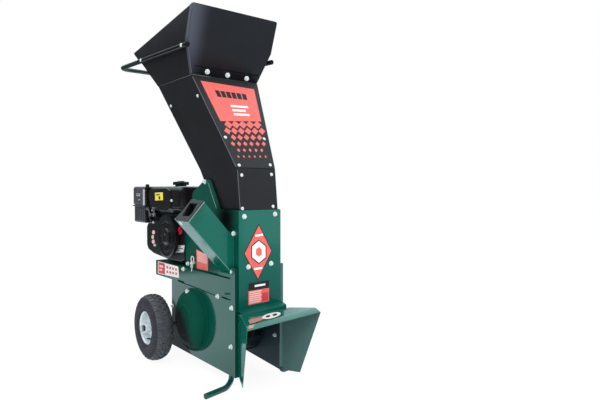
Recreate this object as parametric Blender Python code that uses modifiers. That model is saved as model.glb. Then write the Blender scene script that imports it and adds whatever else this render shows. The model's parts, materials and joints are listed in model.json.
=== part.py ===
"""Walk-behind chipper shredder with a feed hopper, a branch chute, a hammer rotor and a small engine.

Metres, +Z up. The front, where the chips come out, faces -Y. The chipper side faces -X.
The working frame has y = 0 at the front plate. A root empty moves it so that the box is centred.
"""

import math

import bmesh
import bpy
from mathutils import Matrix, Vector

# Sheet and plate
PLATE = 0.003
SHEET = 0.002
GAP = 0.0003

# Base sides
SIDE_OUT = 0.101
SIDE_IN = SIDE_OUT - PLATE
BASE_BOTTOM = 0.036
BASE_LENGTH = 0.500
SEAM_Z = 0.305
TAB_TOP = 0.410
TAB_LENGTH = 0.0325
FRONT_FLANGE = 0.015

# Upper housing
UPPER_OUT = 0.0875
UPPER_IN = UPPER_OUT - PLATE
UPPER_BOTTOM = 0.312
UPPER_BACK = 0.383
EAR_BACK = 0.3985
UPPER_TOP = 0.6065
EAR_TOP = 0.706

# Rotor
ROTOR_Y = 0.250
ROTOR_Z = 0.190
SHELL_IN = 0.147
DISC_R = 0.130
DISC_X = 0.060
DISC_T = 0.008
SHAFT_R = 0.0125
RUN = 0.00005
ROD_R = 0.006
ROD_ORBIT = 0.095

# Bearing cover
DOME_R = 0.1215
DOME_DEPTH = 0.0495
RING_R = 0.054

# Crank and deck
DECK_TOP = 0.3683
SHAFT_HEIGHT = 0.1137
CRANK_Y = 0.515
CRANK_Z = DECK_TOP + SHAFT_HEIGHT
DECK_END = 0.660
DECK_START = 0.2755

# Wheels
WHEEL_R = 0.130
WHEEL_SETBACK = 0.029
WHEEL_Y = BASE_LENGTH - WHEEL_SETBACK
WHEEL_OUT = 0.0065
AXLE_R = 0.008

# Chute
CHUTE_TOP = 1.0950
CHUTE_FOLD = 0.751
CHUTE_END = 0.608
CHUTE_TOP_HW = 0.142
CHUTE_FOLD_HW = 0.080
CHUTE_END_HW = 0.0765
FRONT_TOP_Y = 0.228
FRONT_FOLD_Y = 0.020
FRONT_END_Y = 0.0002
BACK_TOP_Y = 0.527
BACK_FOLD_Y = 0.287
BACK_END_Y = 0.184

# Hopper
HOP_HW = 0.1835
HOP_TOP = 1.3255
HOP_BEND = 1.211
HOP_LOW = 1.0965
HOP_LOW_HW = 0.1445
HOP_LEAN = 0.377
HOP_REAR_Y = 0.691
HOP_REAR_Z = 1.259
HOP_KNEE_Y = 0.608
HOP_KNEE_Z = 1.195

# Feed flap
FLAP_Y = 0.280
FLAP_Z = 1.080
FLAP_DROP = 0.145
FLAP_END_GAP = 0.0011
FLAP_SIDE_GAP = 0.0113
FLAP_ROD_R = 0.004
FLAP_HALF = 0.002

# Handle
TUBE_R = 0.0095
HANDLE_X = 0.1935
HANDLE_FRONT = 0.145
HANDLE_BACK = 0.825
HANDLE_Z = 1.181
HANDLE_RISE = 0.033

# Branch chute
BRANCH_TILT = math.radians(48)
BRANCH_H = 0.088
BRANCH_Y0 = 0.035
BRANCH_Y1 = 0.121
MOUTH = Vector((-0.2305, 0.078, 0.607))

# Guard
LIP_HW = 0.0915
LIP_Y = -0.0340
LIP_TOP = 0.2725
LIP_FOLD = 0.2628
LIP_BOTTOM = 0.2500
ROD_Y = -0.0400
ROD_Z = 0.2500
GUARD_TOP_HW = 0.150
GUARD_OUT_Y = -0.150
GUARD_OUT_Z = 0.2460
GUARD_BEND_Y = -0.136
GUARD_BEND_Z = 0.2575
GUARD_REAR_HW = 0.091
GUARD_REAR_Y = -0.006

# Belt drive
BELT_X = 0.140
BELT_W = 0.013
BELT_T = 0.009
ROTOR_GROOVE = 0.050
CRANK_GROOVE = 0.0315

# Place of the working frame in the part's frame
MID_X = -0.0126
MID_Y = 0.3540


def clear_scene():
    for obj in list(bpy.data.objects):
        bpy.data.objects.remove(obj, do_unlink=True)
    for mesh in list(bpy.data.meshes):
        bpy.data.meshes.remove(mesh)


clear_scene()

PART = bpy.data.collections.new("chipper_shredder")
CUTTERS = bpy.data.collections.new("cutters")
bpy.context.scene.collection.children.link(PART)
bpy.context.scene.collection.children.link(CUTTERS)
CUTTERS.hide_render = True

ROOT = bpy.data.objects.new("machine", None)
ROOT.location = (-MID_X, -MID_Y, 0.0)
PART.objects.link(ROOT)

ENGINE = bpy.data.objects.new("engine", None)
ENGINE.parent = ROOT
ENGINE.location = (0.0, CRANK_Y, CRANK_Z)
PART.objects.link(ENGINE)


def material(name, color, roughness, metallic=0.0):
    mat = bpy.data.materials.new(name)
    mat.use_nodes = True
    shader = mat.node_tree.nodes["Principled BSDF"]
    shader.inputs["Base Color"].default_value = (*color, 1.0)
    shader.inputs["Roughness"].default_value = roughness
    shader.inputs["Metallic"].default_value = metallic
    mat.diffuse_color = (*color, 1.0)
    return mat


GREEN = (0.012, 0.115, 0.082)
DARK_GREEN = (0.004, 0.062, 0.045)
BLACK = (0.018, 0.019, 0.024)
STEEL = (0.50, 0.51, 0.52)
DARK_STEEL = (0.14, 0.14, 0.15)
RUBBER = (0.020, 0.020, 0.021)
PLASTIC = (0.022, 0.022, 0.024)
ALUMINIUM = (0.42, 0.42, 0.43)
RED = (0.60, 0.03, 0.03)
ZINC = (0.62, 0.62, 0.60)


# Basic shapes


def finish(obj, color, roughness=0.5, metallic=0.0, frame=ROOT):
    """Stands a sub-part, and the shapes that shape it, in a frame, with its own material."""
    for coll in list(obj.users_collection):
        coll.objects.unlink(obj)
    PART.objects.link(obj)
    obj.parent = frame
    for mod in obj.modifiers:
        if mod.type == "BOOLEAN":
            mod.object.parent = frame
    obj.data.materials.clear()
    obj.data.materials.append(material(obj.name, color, roughness, metallic))
    if obj.type == "MESH":
        for poly in obj.data.polygons:
            poly.use_smooth = True
        obj.data.set_sharp_from_angle(angle=math.radians(30.0))
    return obj


def helper(obj):
    """Keeps a shape that only shapes another one."""
    for coll in list(obj.users_collection):
        coll.objects.unlink(obj)
    CUTTERS.objects.link(obj)
    obj.hide_render = True
    obj.display_type = "WIRE"
    return obj


def new_object(name, data):
    obj = bpy.data.objects.new(name, data)
    PART.objects.link(obj)
    return obj


def weld(mesh, distance=0.000001):
    bm = bmesh.new()
    bm.from_mesh(mesh)
    bmesh.ops.remove_doubles(bm, verts=bm.verts, dist=distance)
    bmesh.ops.recalc_face_normals(bm, faces=bm.faces)
    bm.to_mesh(mesh)
    bm.free()


def combine(obj, other, operation):
    mod = obj.modifiers.new(operation.lower(), "BOOLEAN")
    mod.operation = operation
    mod.solver = "EXACT"
    mod.object = helper(other)
    return obj


def cut(obj, *others):
    for other in others:
        combine(obj, other, "DIFFERENCE")
    return obj


def join(obj, *others):
    for other in others:
        combine(obj, other, "UNION")
    return obj


def bevel(obj, width, segments=1, angle=30.0):
    mod = obj.modifiers.new("bevel", "BEVEL")
    mod.width = width
    mod.segments = segments
    mod.limit_method = "ANGLE"
    mod.angle_limit = math.radians(angle)
    return obj


def box(name, low, high):
    """Box between two corners."""
    bm = bmesh.new()
    bmesh.ops.create_cube(bm, size=1.0)
    low = Vector(low)
    high = Vector(high)
    bmesh.ops.scale(bm, vec=high - low, verts=bm.verts)
    bmesh.ops.translate(bm, vec=(low + high) / 2, verts=bm.verts)
    mesh = bpy.data.meshes.new(name)
    bm.to_mesh(mesh)
    bm.free()
    return new_object(name, mesh)


AXES = {
    "x": Matrix(((0, 0, 1), (1, 0, 0), (0, 1, 0))).to_4x4(),
    "y": Matrix(((0, 1, 0), (0, 0, 1), (1, 0, 0))).to_4x4(),
    "z": Matrix(((1, 0, 0), (0, 1, 0), (0, 0, 1))).to_4x4(),
}


def cylinder(name, axis, centre, radius, start, end, steps=24):
    """Cylinder along an axis. centre holds the two other coordinates in cyclic order."""
    bm = bmesh.new()
    bmesh.ops.create_cone(
        bm, cap_ends=True, segments=steps, radius1=radius, radius2=radius, depth=end - start
    )
    shift = Vector((centre[0], centre[1], (start + end) / 2))
    bmesh.ops.translate(bm, vec=shift, verts=bm.verts)
    bmesh.ops.transform(bm, matrix=AXES[axis], verts=bm.verts)
    mesh = bpy.data.meshes.new(name)
    bm.to_mesh(mesh)
    bm.free()
    return new_object(name, mesh)


def circle_points(centre, radius, steps, phase=0.0):
    turn = 2 * math.pi / steps
    return [
        (
            centre[0] + radius * math.cos(phase + turn * i),
            centre[1] + radius * math.sin(phase + turn * i),
        )
        for i in range(steps)
    ]


def slab(name, axis, outline, start, end, holes=()):
    """Flat outline with holes, thick along an axis. Points are the two other coordinates in cyclic order."""
    curve = bpy.data.curves.new(name, "CURVE")
    curve.dimensions = "2D"
    curve.fill_mode = "BOTH"
    curve.extrude = (end - start) / 2
    for points in (outline, *holes):
        spline = curve.splines.new("POLY")
        spline.points.add(len(points) - 1)
        for point, (u, v) in zip(spline.points, points):
            point.co = (u, v, 0.0, 1.0)
        spline.use_cyclic_u = True
    maker = bpy.data.objects.new(name + "_outline", curve)
    bpy.context.scene.collection.objects.link(maker)
    graph = bpy.context.evaluated_depsgraph_get()
    mesh = bpy.data.meshes.new_from_object(maker.evaluated_get(graph), depsgraph=graph)
    bpy.data.objects.remove(maker, do_unlink=True)
    mesh.name = name
    lift = Matrix.Translation((0.0, 0.0, (start + end) / 2))
    mesh.transform(AXES[axis] @ lift)
    weld(mesh)
    return new_object(name, mesh)


def revolve(name, axis, centre, profile, steps=32):
    """Closed profile of (radius, place on the axis) turned about the axis."""
    mesh = bpy.data.meshes.new(name)
    verts = [(r, 0.0, a) for r, a in profile]
    edges = [(i, (i + 1) % len(profile)) for i in range(len(profile))]
    mesh.from_pydata(verts, edges, [])
    obj = new_object(name, mesh)
    mod = obj.modifiers.new("screw", "SCREW")
    mod.axis = "Z"
    mod.steps = steps
    mod.render_steps = steps
    mod.use_merge_vertices = True
    mod.merge_threshold = 0.00001
    mod.use_normal_calculate = True
    graph = bpy.context.evaluated_depsgraph_get()
    turned = bpy.data.meshes.new_from_object(obj.evaluated_get(graph), depsgraph=graph)
    bpy.data.objects.remove(obj, do_unlink=True)
    turned.name = name
    turned.transform(AXES[axis] @ Matrix.Translation((centre[0], centre[1], 0.0)))
    weld(turned)
    return new_object(name, turned)


def shell(name, verts, faces, thickness, offset=-1.0):
    """Sheet metal: an open surface made solid. offset -1 grows to the back of the faces."""
    mesh = bpy.data.meshes.new(name)
    mesh.from_pydata([tuple(v) for v in verts], [], faces)
    mesh.update()
    obj = new_object(name, mesh)
    mod = obj.modifiers.new("thickness", "SOLIDIFY")
    mod.solidify_mode = "NON_MANIFOLD"
    mod.nonmanifold_thickness_mode = "CONSTRAINTS"
    mod.thickness = thickness
    mod.offset = offset
    return obj


def tube(name, points, radius, bevel_resolution=2):
    """Round bar along a path."""
    curve = bpy.data.curves.new(name, "CURVE")
    curve.dimensions = "3D"
    curve.bevel_depth = radius
    curve.bevel_resolution = bevel_resolution
    curve.use_fill_caps = True
    spline = curve.splines.new("POLY")
    spline.points.add(len(points) - 1)
    for point, place in zip(spline.points, points):
        point.co = (*place, 1.0)
    maker = bpy.data.objects.new(name + "_path", curve)
    bpy.context.scene.collection.objects.link(maker)
    graph = bpy.context.evaluated_depsgraph_get()
    mesh = bpy.data.meshes.new_from_object(maker.evaluated_get(graph), depsgraph=graph)
    bpy.data.objects.remove(maker, do_unlink=True)
    mesh.name = name
    weld(mesh, 0.00002)
    return new_object(name, mesh)


def rounded_path(points, radius, steps=4):
    """Path whose inner corners are arcs."""
    points = [Vector(p) for p in points]
    path = [points[0]]
    for before, corner, after in zip(points, points[1:], points[2:]):
        a = (before - corner).normalized()
        b = (after - corner).normalized()
        half = a.angle(b) / 2
        reach = radius / math.tan(half)
        centre = corner + (a + b).normalized() * (radius / math.sin(half))
        start = corner + a * reach - centre
        stop = corner + b * reach - centre
        for i in range(steps + 1):
            turn = start.normalized().slerp(stop.normalized(), i / steps)
            path.append(centre + turn * radius)
    path.append(points[-1])
    return path


def inset(points, distance):
    """Convex outline, counter-clockwise, moved inwards."""
    count = len(points)
    moved = []
    for i in range(count):
        p = Vector(points[i - 1])
        q = Vector(points[i])
        r = Vector(points[(i + 1) % count])
        a = (q - p).normalized()
        b = (r - q).normalized()
        na = Vector((-a.y, a.x))
        nb = Vector((-b.y, b.x))
        scale = distance / (1.0 + na.dot(nb))
        moved.append(tuple(q + (na + nb) * scale))
    return moved


def mirrored(points):
    return [(-x, y, z) for x, y, z in points]


# Base


def base_side(name, sign):
    outline = [
        (0.0, BASE_BOTTOM),
        (BASE_LENGTH, BASE_BOTTOM),
        (BASE_LENGTH, SEAM_Z),
        (TAB_LENGTH, SEAM_Z),
        (TAB_LENGTH, TAB_TOP),
        (0.0, TAB_TOP),
    ]
    holes = [
        circle_points((ROTOR_Y, ROTOR_Z), 0.030, 24),
        circle_points((WHEEL_Y, WHEEL_R), AXLE_R + 0.0004, 16),
    ]
    low, high = sorted((sign * SIDE_IN, sign * SIDE_OUT))
    obj = slab(name, "x", outline, low, high, holes)
    low, high = sorted((sign * (SIDE_IN + 0.001), sign * (SIDE_OUT - FRONT_FLANGE)))
    flange = box(name + "_flange", (low, 0.0, BASE_BOTTOM), (high, PLATE, TAB_TOP))
    join(obj, flange)
    return finish(obj, GREEN, 0.35)


def engine_deck():
    side = [
        (TAB_LENGTH + 0.0005, SEAM_Z + 0.0005),
        (DECK_END, SEAM_Z + 0.0005),
        (DECK_END, DECK_TOP),
        (TAB_LENGTH + 0.0005, DECK_TOP),
    ]
    obj = slab("engine_deck", "x", side, -SIDE_OUT, -SIDE_IN)
    other = slab("deck_right", "x", side, SIDE_IN, SIDE_OUT)
    top = box(
        "deck_plate",
        (-SIDE_IN - 0.001, DECK_START, DECK_TOP - PLATE),
        (SIDE_IN + 0.001, DECK_END - 0.0005, DECK_TOP),
    )
    rear = box(
        "deck_rear",
        (-SIDE_IN - 0.001, DECK_END - PLATE, SEAM_Z + 0.0005),
        (SIDE_IN + 0.001, DECK_END - 0.0002, DECK_TOP - 0.001),
    )
    join(obj, top, other, rear)
    for sign in (-1, 1):
        low, high = sorted((sign * (UPPER_OUT + 0.0004), sign * (SIDE_IN + 0.001)))
        strip = box(
            "deck_strip",
            (low, TAB_LENGTH + 0.001, DECK_TOP - PLATE + 0.0002),
            (high, DECK_START + 0.010, DECK_TOP - 0.0001),
        )
        join(obj, strip)
    return finish(obj, GREEN, 0.35)


def upper_housing():
    side = [
        (0.0035, UPPER_BOTTOM),
        (0.272, UPPER_BOTTOM),
        (0.272, DECK_TOP + GAP),
        (EAR_BACK, DECK_TOP + GAP),
        (EAR_BACK, 0.500),
        (UPPER_BACK, 0.516),
        (UPPER_BACK, 0.6150),
        (0.232, 0.702),
        (0.209, 0.714),
        (0.190, EAR_TOP),
        (0.122, UPPER_TOP),
        (0.0035, UPPER_TOP),
    ]
    opening = [(0.038, 0.383), (0.118, 0.383), (0.118, 0.508), (0.038, 0.508)]
    pin_hole = circle_points(PIN, 0.0055, 12)
    obj = slab("upper_housing", "x", side, -UPPER_OUT, -UPPER_IN, [opening, pin_hole])
    other = slab("upper_right", "x", side, UPPER_IN, UPPER_OUT)
    hood = [
        (UPPER_BACK - PLATE, DECK_TOP + 2 * GAP),
        (UPPER_BACK - GAP, DECK_TOP + 2 * GAP),
        (UPPER_BACK - GAP, 0.6145),
        (0.262, 0.6832),
        (0.260, 0.6795),
        (UPPER_BACK - PLATE, 0.6130),
    ]
    back = slab("upper_back", "x", hood, -UPPER_IN - 0.001, UPPER_IN + 0.001)
    join(obj, back, other)
    return finish(obj, GREEN, 0.35)


def front_plate():
    plate = [
        (-UPPER_OUT, 0.262),
        (UPPER_OUT, 0.262),
        (UPPER_OUT, 0.605),
        (-UPPER_OUT, 0.605),
    ]
    swapped = [(z, x) for x, z in plate]
    obj = slab("front_plate", "y", swapped, -PLATE - GAP, -GAP)
    lip = [
        (-GAP, LIP_TOP),
        (LIP_Y, LIP_FOLD),
        (LIP_Y, LIP_BOTTOM),
        (LIP_Y + 0.0028, LIP_BOTTOM),
        (LIP_Y + 0.0028, LIP_FOLD - 0.0022),
        (-GAP, LIP_TOP - 0.0030),
    ]
    bar = slab("lip", "x", lip, -LIP_HW, LIP_HW)
    lug = [
        (-GAP, LIP_TOP - 0.0010),
        (LIP_Y + 0.0002, LIP_FOLD - 0.0010),
        (-0.0440, 0.2555),
        (-0.0460, 0.2480),
        (-0.0420, 0.2435),
        (-GAP, 0.2435),
    ]
    left = slab("lug_left", "x", lug, -LIP_HW + 0.0002, -LIP_HW + PLATE)
    right = slab("lug_right", "x", lug, LIP_HW - PLATE, LIP_HW - 0.0002)
    join(obj, bar, left, right)
    return finish(obj, GREEN, 0.35)


def stand_foot(name, sign, reach):
    """Bent bar. Both sides take the same bar, so the right one is the left one turned round."""
    inside = SIDE_IN - TUBE_R - GAP
    path = [
        (sign * inside, 0.0190, 0.0580),
        (sign * inside, 0.0190, 0.0330),
        (sign * 0.100, 0.0190 + sign * 0.004, TUBE_R + 0.0015),
        (sign * 0.125, 0.0190 + sign * 0.007, TUBE_R),
        (sign * reach, 0.0190 + sign * 0.024, TUBE_R),
    ]
    smooth = [Vector(path[0])]
    arc = [Vector(p) for p in path[1:4]]
    for i in range(7):
        t = i / 6
        smooth.append(arc[0] * (1 - t) ** 2 + arc[1] * 2 * t * (1 - t) + arc[2] * t * t)
    smooth.append(Vector(path[4]))
    return finish(tube(name, smooth, TUBE_R), GREEN, 0.4)


PIN = (0.322, 0.392)


def latch():
    """Pin from inside the housing, kept by a spring clip through its outer end."""
    x = -0.0975
    pin = cylinder("latch_pin", "x", PIN, 0.005, -0.1040, -0.0700, 12)
    head = cylinder("latch_head", "x", PIN, 0.0085, -0.0840, -0.0790, 12)
    hole = cylinder("latch_hole", "z", (x, PIN[0]), 0.0019, 0.380, 0.405, 8)
    join(pin, head)
    cut(pin, hole)
    finish(pin, ZINC, 0.3, 1.0)
    leg = [(x, PIN[0], 0.3760), (x, PIN[0], 0.4080)]
    loop = []
    for i in range(11):
        turn = math.radians(-60 + 30 * i)
        y = PIN[0] + 0.0060 + 0.0065 * math.cos(turn)
        loop.append((x, y, 0.4145 + 0.0065 * math.sin(turn)))
    tail = [
        (x, PIN[0] + 0.0098, 0.4005),
        (x, PIN[0] + 0.0072, 0.3935),
        (x, PIN[0] + 0.0110, 0.3860),
    ]
    clip = tube("r_clip", leg + loop[::-1][2:] + tail, 0.0013, 1)
    finish(clip, ZINC, 0.3, 1.0)


# Rotor


def arc_points(centre, radius, start, stop, steps):
    return [
        (
            centre[0] + radius * math.cos(math.radians(start + (stop - start) * i / steps)),
            centre[1] + radius * math.sin(math.radians(start + (stop - start) * i / steps)),
        )
        for i in range(steps + 1)
    ]


def rotor_scroll():
    centre = (ROTOR_Y, ROTOR_Z)
    inner = arc_points(centre, SHELL_IN, -65, 74, 20)
    outer = arc_points(centre, SHELL_IN + PLATE, 74, -65, 20)
    obj = slab("rotor_scroll", "x", inner + outer, -SIDE_IN + 0.0006, SIDE_IN - 0.0006)
    return finish(obj, DARK_STEEL, 0.55, 0.6)


def discharge_screen():
    """Curved screen with rows of slots."""
    rows = 29
    columns = 17
    start, stop = 152.0, 292.0
    width = SIDE_IN - 0.0006
    xs = [-width + 2 * width * i / columns for i in range(columns + 1)]
    verts = []
    for j in range(rows + 1):
        turn = math.radians(start + (stop - start) * j / rows)
        y = ROTOR_Y + SHELL_IN * math.cos(turn)
        z = ROTOR_Z + SHELL_IN * math.sin(turn)
        verts += [(x, y, z) for x in xs]
    faces = []
    for j in range(rows):
        for i in range(columns):
            slot = j % 4 in (1, 2) and i % 4 in (1, 2, 3) and 0 < j < rows - 1 and i < columns - 1
            if slot:
                continue
            a = j * (columns + 1) + i
            faces.append((a, a + 1, a + columns + 2, a + columns + 1))
    obj = shell("discharge_screen", verts, faces, PLATE, 1.0)
    mesh = obj.data
    bm = bmesh.new()
    bm.from_mesh(mesh)
    bmesh.ops.dissolve_limit(
        bm, angle_limit=math.radians(1.0), verts=bm.verts, edges=bm.edges
    )
    loose = [v for v in bm.verts if not v.link_faces]
    bmesh.ops.delete(bm, geom=loose, context="VERTS")
    bmesh.ops.triangulate(bm, faces=bm.faces)
    bm.to_mesh(mesh)
    bm.free()
    return finish(obj, DARK_STEEL, 0.55, 0.6)


def rotor():
    centre = (ROTOR_Y, ROTOR_Z)
    shaft = cylinder("rotor_shaft", "x", centre, SHAFT_R, -0.135, 0.168, 24)
    finish(shaft, STEEL, 0.3, 1.0)
    bore = SHAFT_R + RUN
    for name, sign in (("rotor_disc_left", -1), ("rotor_disc_right", 1)):
        low, high = sorted((sign * (DISC_X - DISC_T), sign * DISC_X))
        holes = [circle_points(centre, bore / math.cos(math.pi / 24), 24)]
        for turn in (90, 270):
            y = ROTOR_Y + ROD_ORBIT * math.cos(math.radians(turn))
            z = ROTOR_Z + ROD_ORBIT * math.sin(math.radians(turn))
            holes.append(circle_points((y, z), (ROD_R + RUN) / math.cos(math.pi / 16), 16))
        obj = slab(name, "x", circle_points(centre, DISC_R, 40), low, high, holes)
        finish(obj, DARK_STEEL, 0.4, 0.8)
    for name, turn in (("hammer_rod_a", 90), ("hammer_rod_b", 270)):
        y = ROTOR_Y + ROD_ORBIT * math.cos(math.radians(turn))
        z = ROTOR_Z + ROD_ORBIT * math.sin(math.radians(turn))
        rod = cylinder(name, "x", (y, z), ROD_R, -0.064, 0.064, 16)
        finish(rod, STEEL, 0.35, 1.0)
        hammer(name.replace("_rod", ""), y, z)
    for name, sign in (("chipper_knife_a", 1), ("chipper_knife_b", -1)):
        inner, outer = sorted((sign * 0.045, sign * 0.118))
        low = (-DISC_X - 0.0065, ROTOR_Y + inner, ROTOR_Z - 0.013)
        high = (-DISC_X - GAP, ROTOR_Y + outer, ROTOR_Z + 0.013)
        knife = box(name, low, high)
        bevel(knife, 0.0015)
        finish(knife, STEEL, 0.25, 1.0)


def hammer(name, y, z):
    """Swinging hammer, hanging from its rod."""
    reach = 0.038
    half = 0.0115
    top = arc_points((y, z), half, 0, 180, 6)
    outline = top + [(y - half, z - reach), (y + half, z - reach)]
    hole = circle_points((y, z), (ROD_R + RUN) / math.cos(math.pi / 16), 16)
    obj = slab(name, "x", outline, -0.040, 0.040, [hole])
    return finish(obj, STEEL, 0.4, 0.9)


def bearing(name, sign):
    centre = (ROTOR_Y, ROTOR_Z)
    start = sign * (SIDE_OUT + GAP)
    profile = [
        (SHAFT_R + 0.0002, start),
        (0.045, start),
        (0.045, start + sign * 0.006),
        (0.030, start + sign * 0.008),
        (0.025, start + sign * 0.022),
        (SHAFT_R + 0.0002, start + sign * 0.022),
    ]
    return finish(revolve(name, "x", centre, profile, 24), DARK_STEEL, 0.5, 0.7)


def bearing_cover():
    """Domed pressing over the chipper side's bearing, with a raised ring."""
    outer = [
        (DOME_R, 0.0000),
        (DOME_R, 0.0018),
        (DOME_R - 0.0050, 0.0030),
        (DOME_R - 0.0085, 0.0075),
        (DOME_R - 0.0140, 0.0175),
        (DOME_R - 0.0225, 0.0285),
        (DOME_R - 0.0335, 0.0370),
        (DOME_R - 0.0455, 0.0420),
        (RING_R + 0.0065, 0.0445),
        (RING_R + 0.0035, DOME_DEPTH),
        (RING_R - 0.0035, DOME_DEPTH),
        (RING_R - 0.0070, 0.0450),
        (0.0000, 0.0450),
    ]
    inner = [
        (0.0000, 0.0430),
        (RING_R - 0.0062, 0.0430),
        (RING_R - 0.0027, DOME_DEPTH - SHEET),
        (RING_R + 0.0027, DOME_DEPTH - SHEET),
        (RING_R + 0.0055, 0.0427),
        (DOME_R - 0.0463, 0.0401),
        (DOME_R - 0.0345, 0.0352),
        (DOME_R - 0.0240, 0.0271),
        (DOME_R - 0.0158, 0.0165),
        (DOME_R - 0.0104, 0.0066),
        (DOME_R - 0.0085, 0.0000),
    ]
    start = -SIDE_OUT - GAP
    profile = [(radius, start - depth) for radius, depth in outer + inner]
    obj = revolve("bearing_cover", "x", (ROTOR_Y, ROTOR_Z), profile, 36)
    return finish(obj, DARK_GREEN, 0.3)


# Belt drive


def pulley_profile(groove, bore, left, right):
    half = BELT_W / 2 + 0.0004
    rim = groove + 0.0085
    return [
        (bore, left),
        (rim, left),
        (rim, BELT_X - half),
        (groove, BELT_X - half),
        (groove, BELT_X + half),
        (rim, BELT_X + half),
        (rim, right),
        (bore, right),
    ]


def belt_drive():
    bore = (SHAFT_R + RUN) / math.cos(math.pi / 24)
    profile = pulley_profile(ROTOR_GROOVE, bore, 0.1300, 0.1500)
    obj = revolve("rotor_pulley", "x", (ROTOR_Y, ROTOR_Z), profile, 24)
    finish(obj, DARK_STEEL, 0.4, 0.8)
    profile = pulley_profile(CRANK_GROOVE, bore, 0.1300, 0.1500)
    profile[-2:] = [
        (0.0400, 0.1500),
        (0.0480, 0.1520),
        (0.0480, 0.1700),
        (0.0440, 0.1730),
        (bore, 0.1730),
    ]
    obj = revolve("clutch_pulley", "x", (CRANK_Y, CRANK_Z), profile, 24)
    finish(obj, DARK_STEEL, 0.4, 0.8)
    inner = loop_outline(ROTOR_GROOVE + 0.0004, CRANK_GROOVE + 0.0004, 22)
    outer = loop_outline(ROTOR_GROOVE + BELT_T, CRANK_GROOVE + BELT_T, 22)
    start, end = BELT_X - BELT_W / 2, BELT_X + BELT_W / 2
    obj = slab("drive_belt", "x", outer, start, end, [inner])
    finish(obj, RUBBER, 0.8)


def loop_outline(rotor_r, crank_r, steps):
    """Outline round two circles on the rotor and crank axes, counter-clockwise."""
    a = Vector((ROTOR_Y, ROTOR_Z))
    b = Vector((CRANK_Y, CRANK_Z))
    along = math.atan2(b.y - a.y, b.x - a.x)
    open_angle = math.acos((rotor_r - crank_r) / (b - a).length)
    points = []
    for i in range(steps + 1):
        t = along + open_angle + (2 * math.pi - 2 * open_angle) * i / steps
        points.append((a.x + rotor_r * math.cos(t), a.y + rotor_r * math.sin(t)))
    for i in range(steps + 1):
        t = along - open_angle + 2 * open_angle * i / steps
        points.append((b.x + crank_r * math.cos(t), b.y + crank_r * math.sin(t)))
    return points


def belt_guard():
    outer = loop_outline(0.0690, 0.0600, 12)
    inner = loop_outline(0.0670, 0.0580, 12)
    obj = slab("belt_guard", "x", outer, SIDE_OUT + GAP, 0.1830)
    hollow = slab("belt_space", "x", inner, 0.0900, 0.1810)
    bevel(obj, 0.004, 1, 60)
    cut(obj, hollow)
    return finish(obj, GREEN, 0.4)


# Wheels


def wheels():
    axle = cylinder("wheel_axle", "x", (WHEEL_Y, WHEEL_R), AXLE_R, -0.2425, 0.2425, 16)
    for sign in (-1, 1):
        low, high = sorted((sign * 0.2382, sign * 0.2445))
        head = cylinder("axle_head", "x", (WHEEL_Y, WHEEL_R), 0.0125, low, high, 16)
        low, high = sorted((sign * (SIDE_OUT + GAP), sign * 0.1545))
        collar = cylinder("axle_collar", "x", (WHEEL_Y, WHEEL_R), 0.0135, low, high, 16)
        join(axle, head, collar)
    finish(axle, DARK_STEEL, 0.4, 0.9)
    for side, sign in (("left", -1), ("right", 1)):
        wheel_rim("wheel_rim_" + side, sign)
        wheel_tyre("wheel_tyre_" + side, sign)


def wheel_rim(name, sign):
    bore = (AXLE_R + RUN) / math.cos(math.pi / 16)
    profile = [
        (bore, 0.1490),
        (0.0165, 0.1490),
        (0.0165, 0.1800),
        (0.0480, 0.1860),
        (0.0560, 0.1620),
        (0.0600, 0.1600),
        (0.0600, 0.1560),
        (0.0655, 0.1560),
        (0.0655, 0.2180),
        (0.0600, 0.2180),
        (0.0585, 0.2060),
        (0.0480, 0.2030),
        (0.0350, 0.2060),
        (0.0185, 0.2070),
        (0.0165, 0.2310),
        (bore, 0.2310),
    ]
    profile = [(r, sign * (x + WHEEL_OUT)) for r, x in profile]
    obj = revolve(name, "x", (WHEEL_Y, WHEEL_R), profile, 32)
    return finish(obj, (0.72, 0.72, 0.70), 0.35, 0.6)


def wheel_tyre(name, sign):
    bead = 0.0658
    profile = [
        (bead, 0.1575),
        (0.0720, 0.1548),
        (0.0900, 0.1520),
        (0.1120, 0.1522),
        (0.1250, 0.1590),
        (0.1285, 0.1700),
        (WHEEL_R, 0.1870),
        (0.1285, 0.2040),
        (0.1250, 0.2150),
        (0.1120, 0.2218),
        (0.0900, 0.2220),
        (0.0720, 0.2192),
        (bead, 0.2165),
        (bead, 0.2100),
        (bead, 0.1640),
    ]
    profile = [(r, sign * (x + WHEEL_OUT)) for r, x in profile]
    obj = revolve(name, "x", (WHEEL_Y, WHEEL_R), profile, 32)
    return finish(obj, (0.045, 0.045, 0.047), 0.85)


# Feed chute and hopper


def chute_body():
    """Folded sides and back, with flanges for the front plates."""
    front = 0.0025
    flange = 0.014
    top_y = FRONT_TOP_Y + front
    fold_y = FRONT_FOLD_Y + front
    end_y = FRONT_END_Y + front
    rows = [
        (CHUTE_TOP_HW, top_y, BACK_TOP_Y, CHUTE_TOP),
        (CHUTE_FOLD_HW, fold_y, BACK_FOLD_Y, CHUTE_FOLD),
        (CHUTE_END_HW, end_y, BACK_END_Y, CHUTE_END),
    ]
    verts = []
    for half, y_front, y_back, z in rows:
        verts += [
            (-half + flange, y_front, z),
            (-half, y_front, z),
            (-half, y_back, z),
            (half, y_back, z),
            (half, y_front, z),
            (half - flange, y_front, z),
        ]
    faces = []
    for row in range(2):
        for i in range(5):
            a = row * 6 + i
            faces.append((a, a + 6, a + 7, a + 1))
    obj = shell("chute_body", verts, faces, SHEET, -1.0)
    flip_outwards(obj)
    return finish(obj, BLACK, 0.45)


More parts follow.
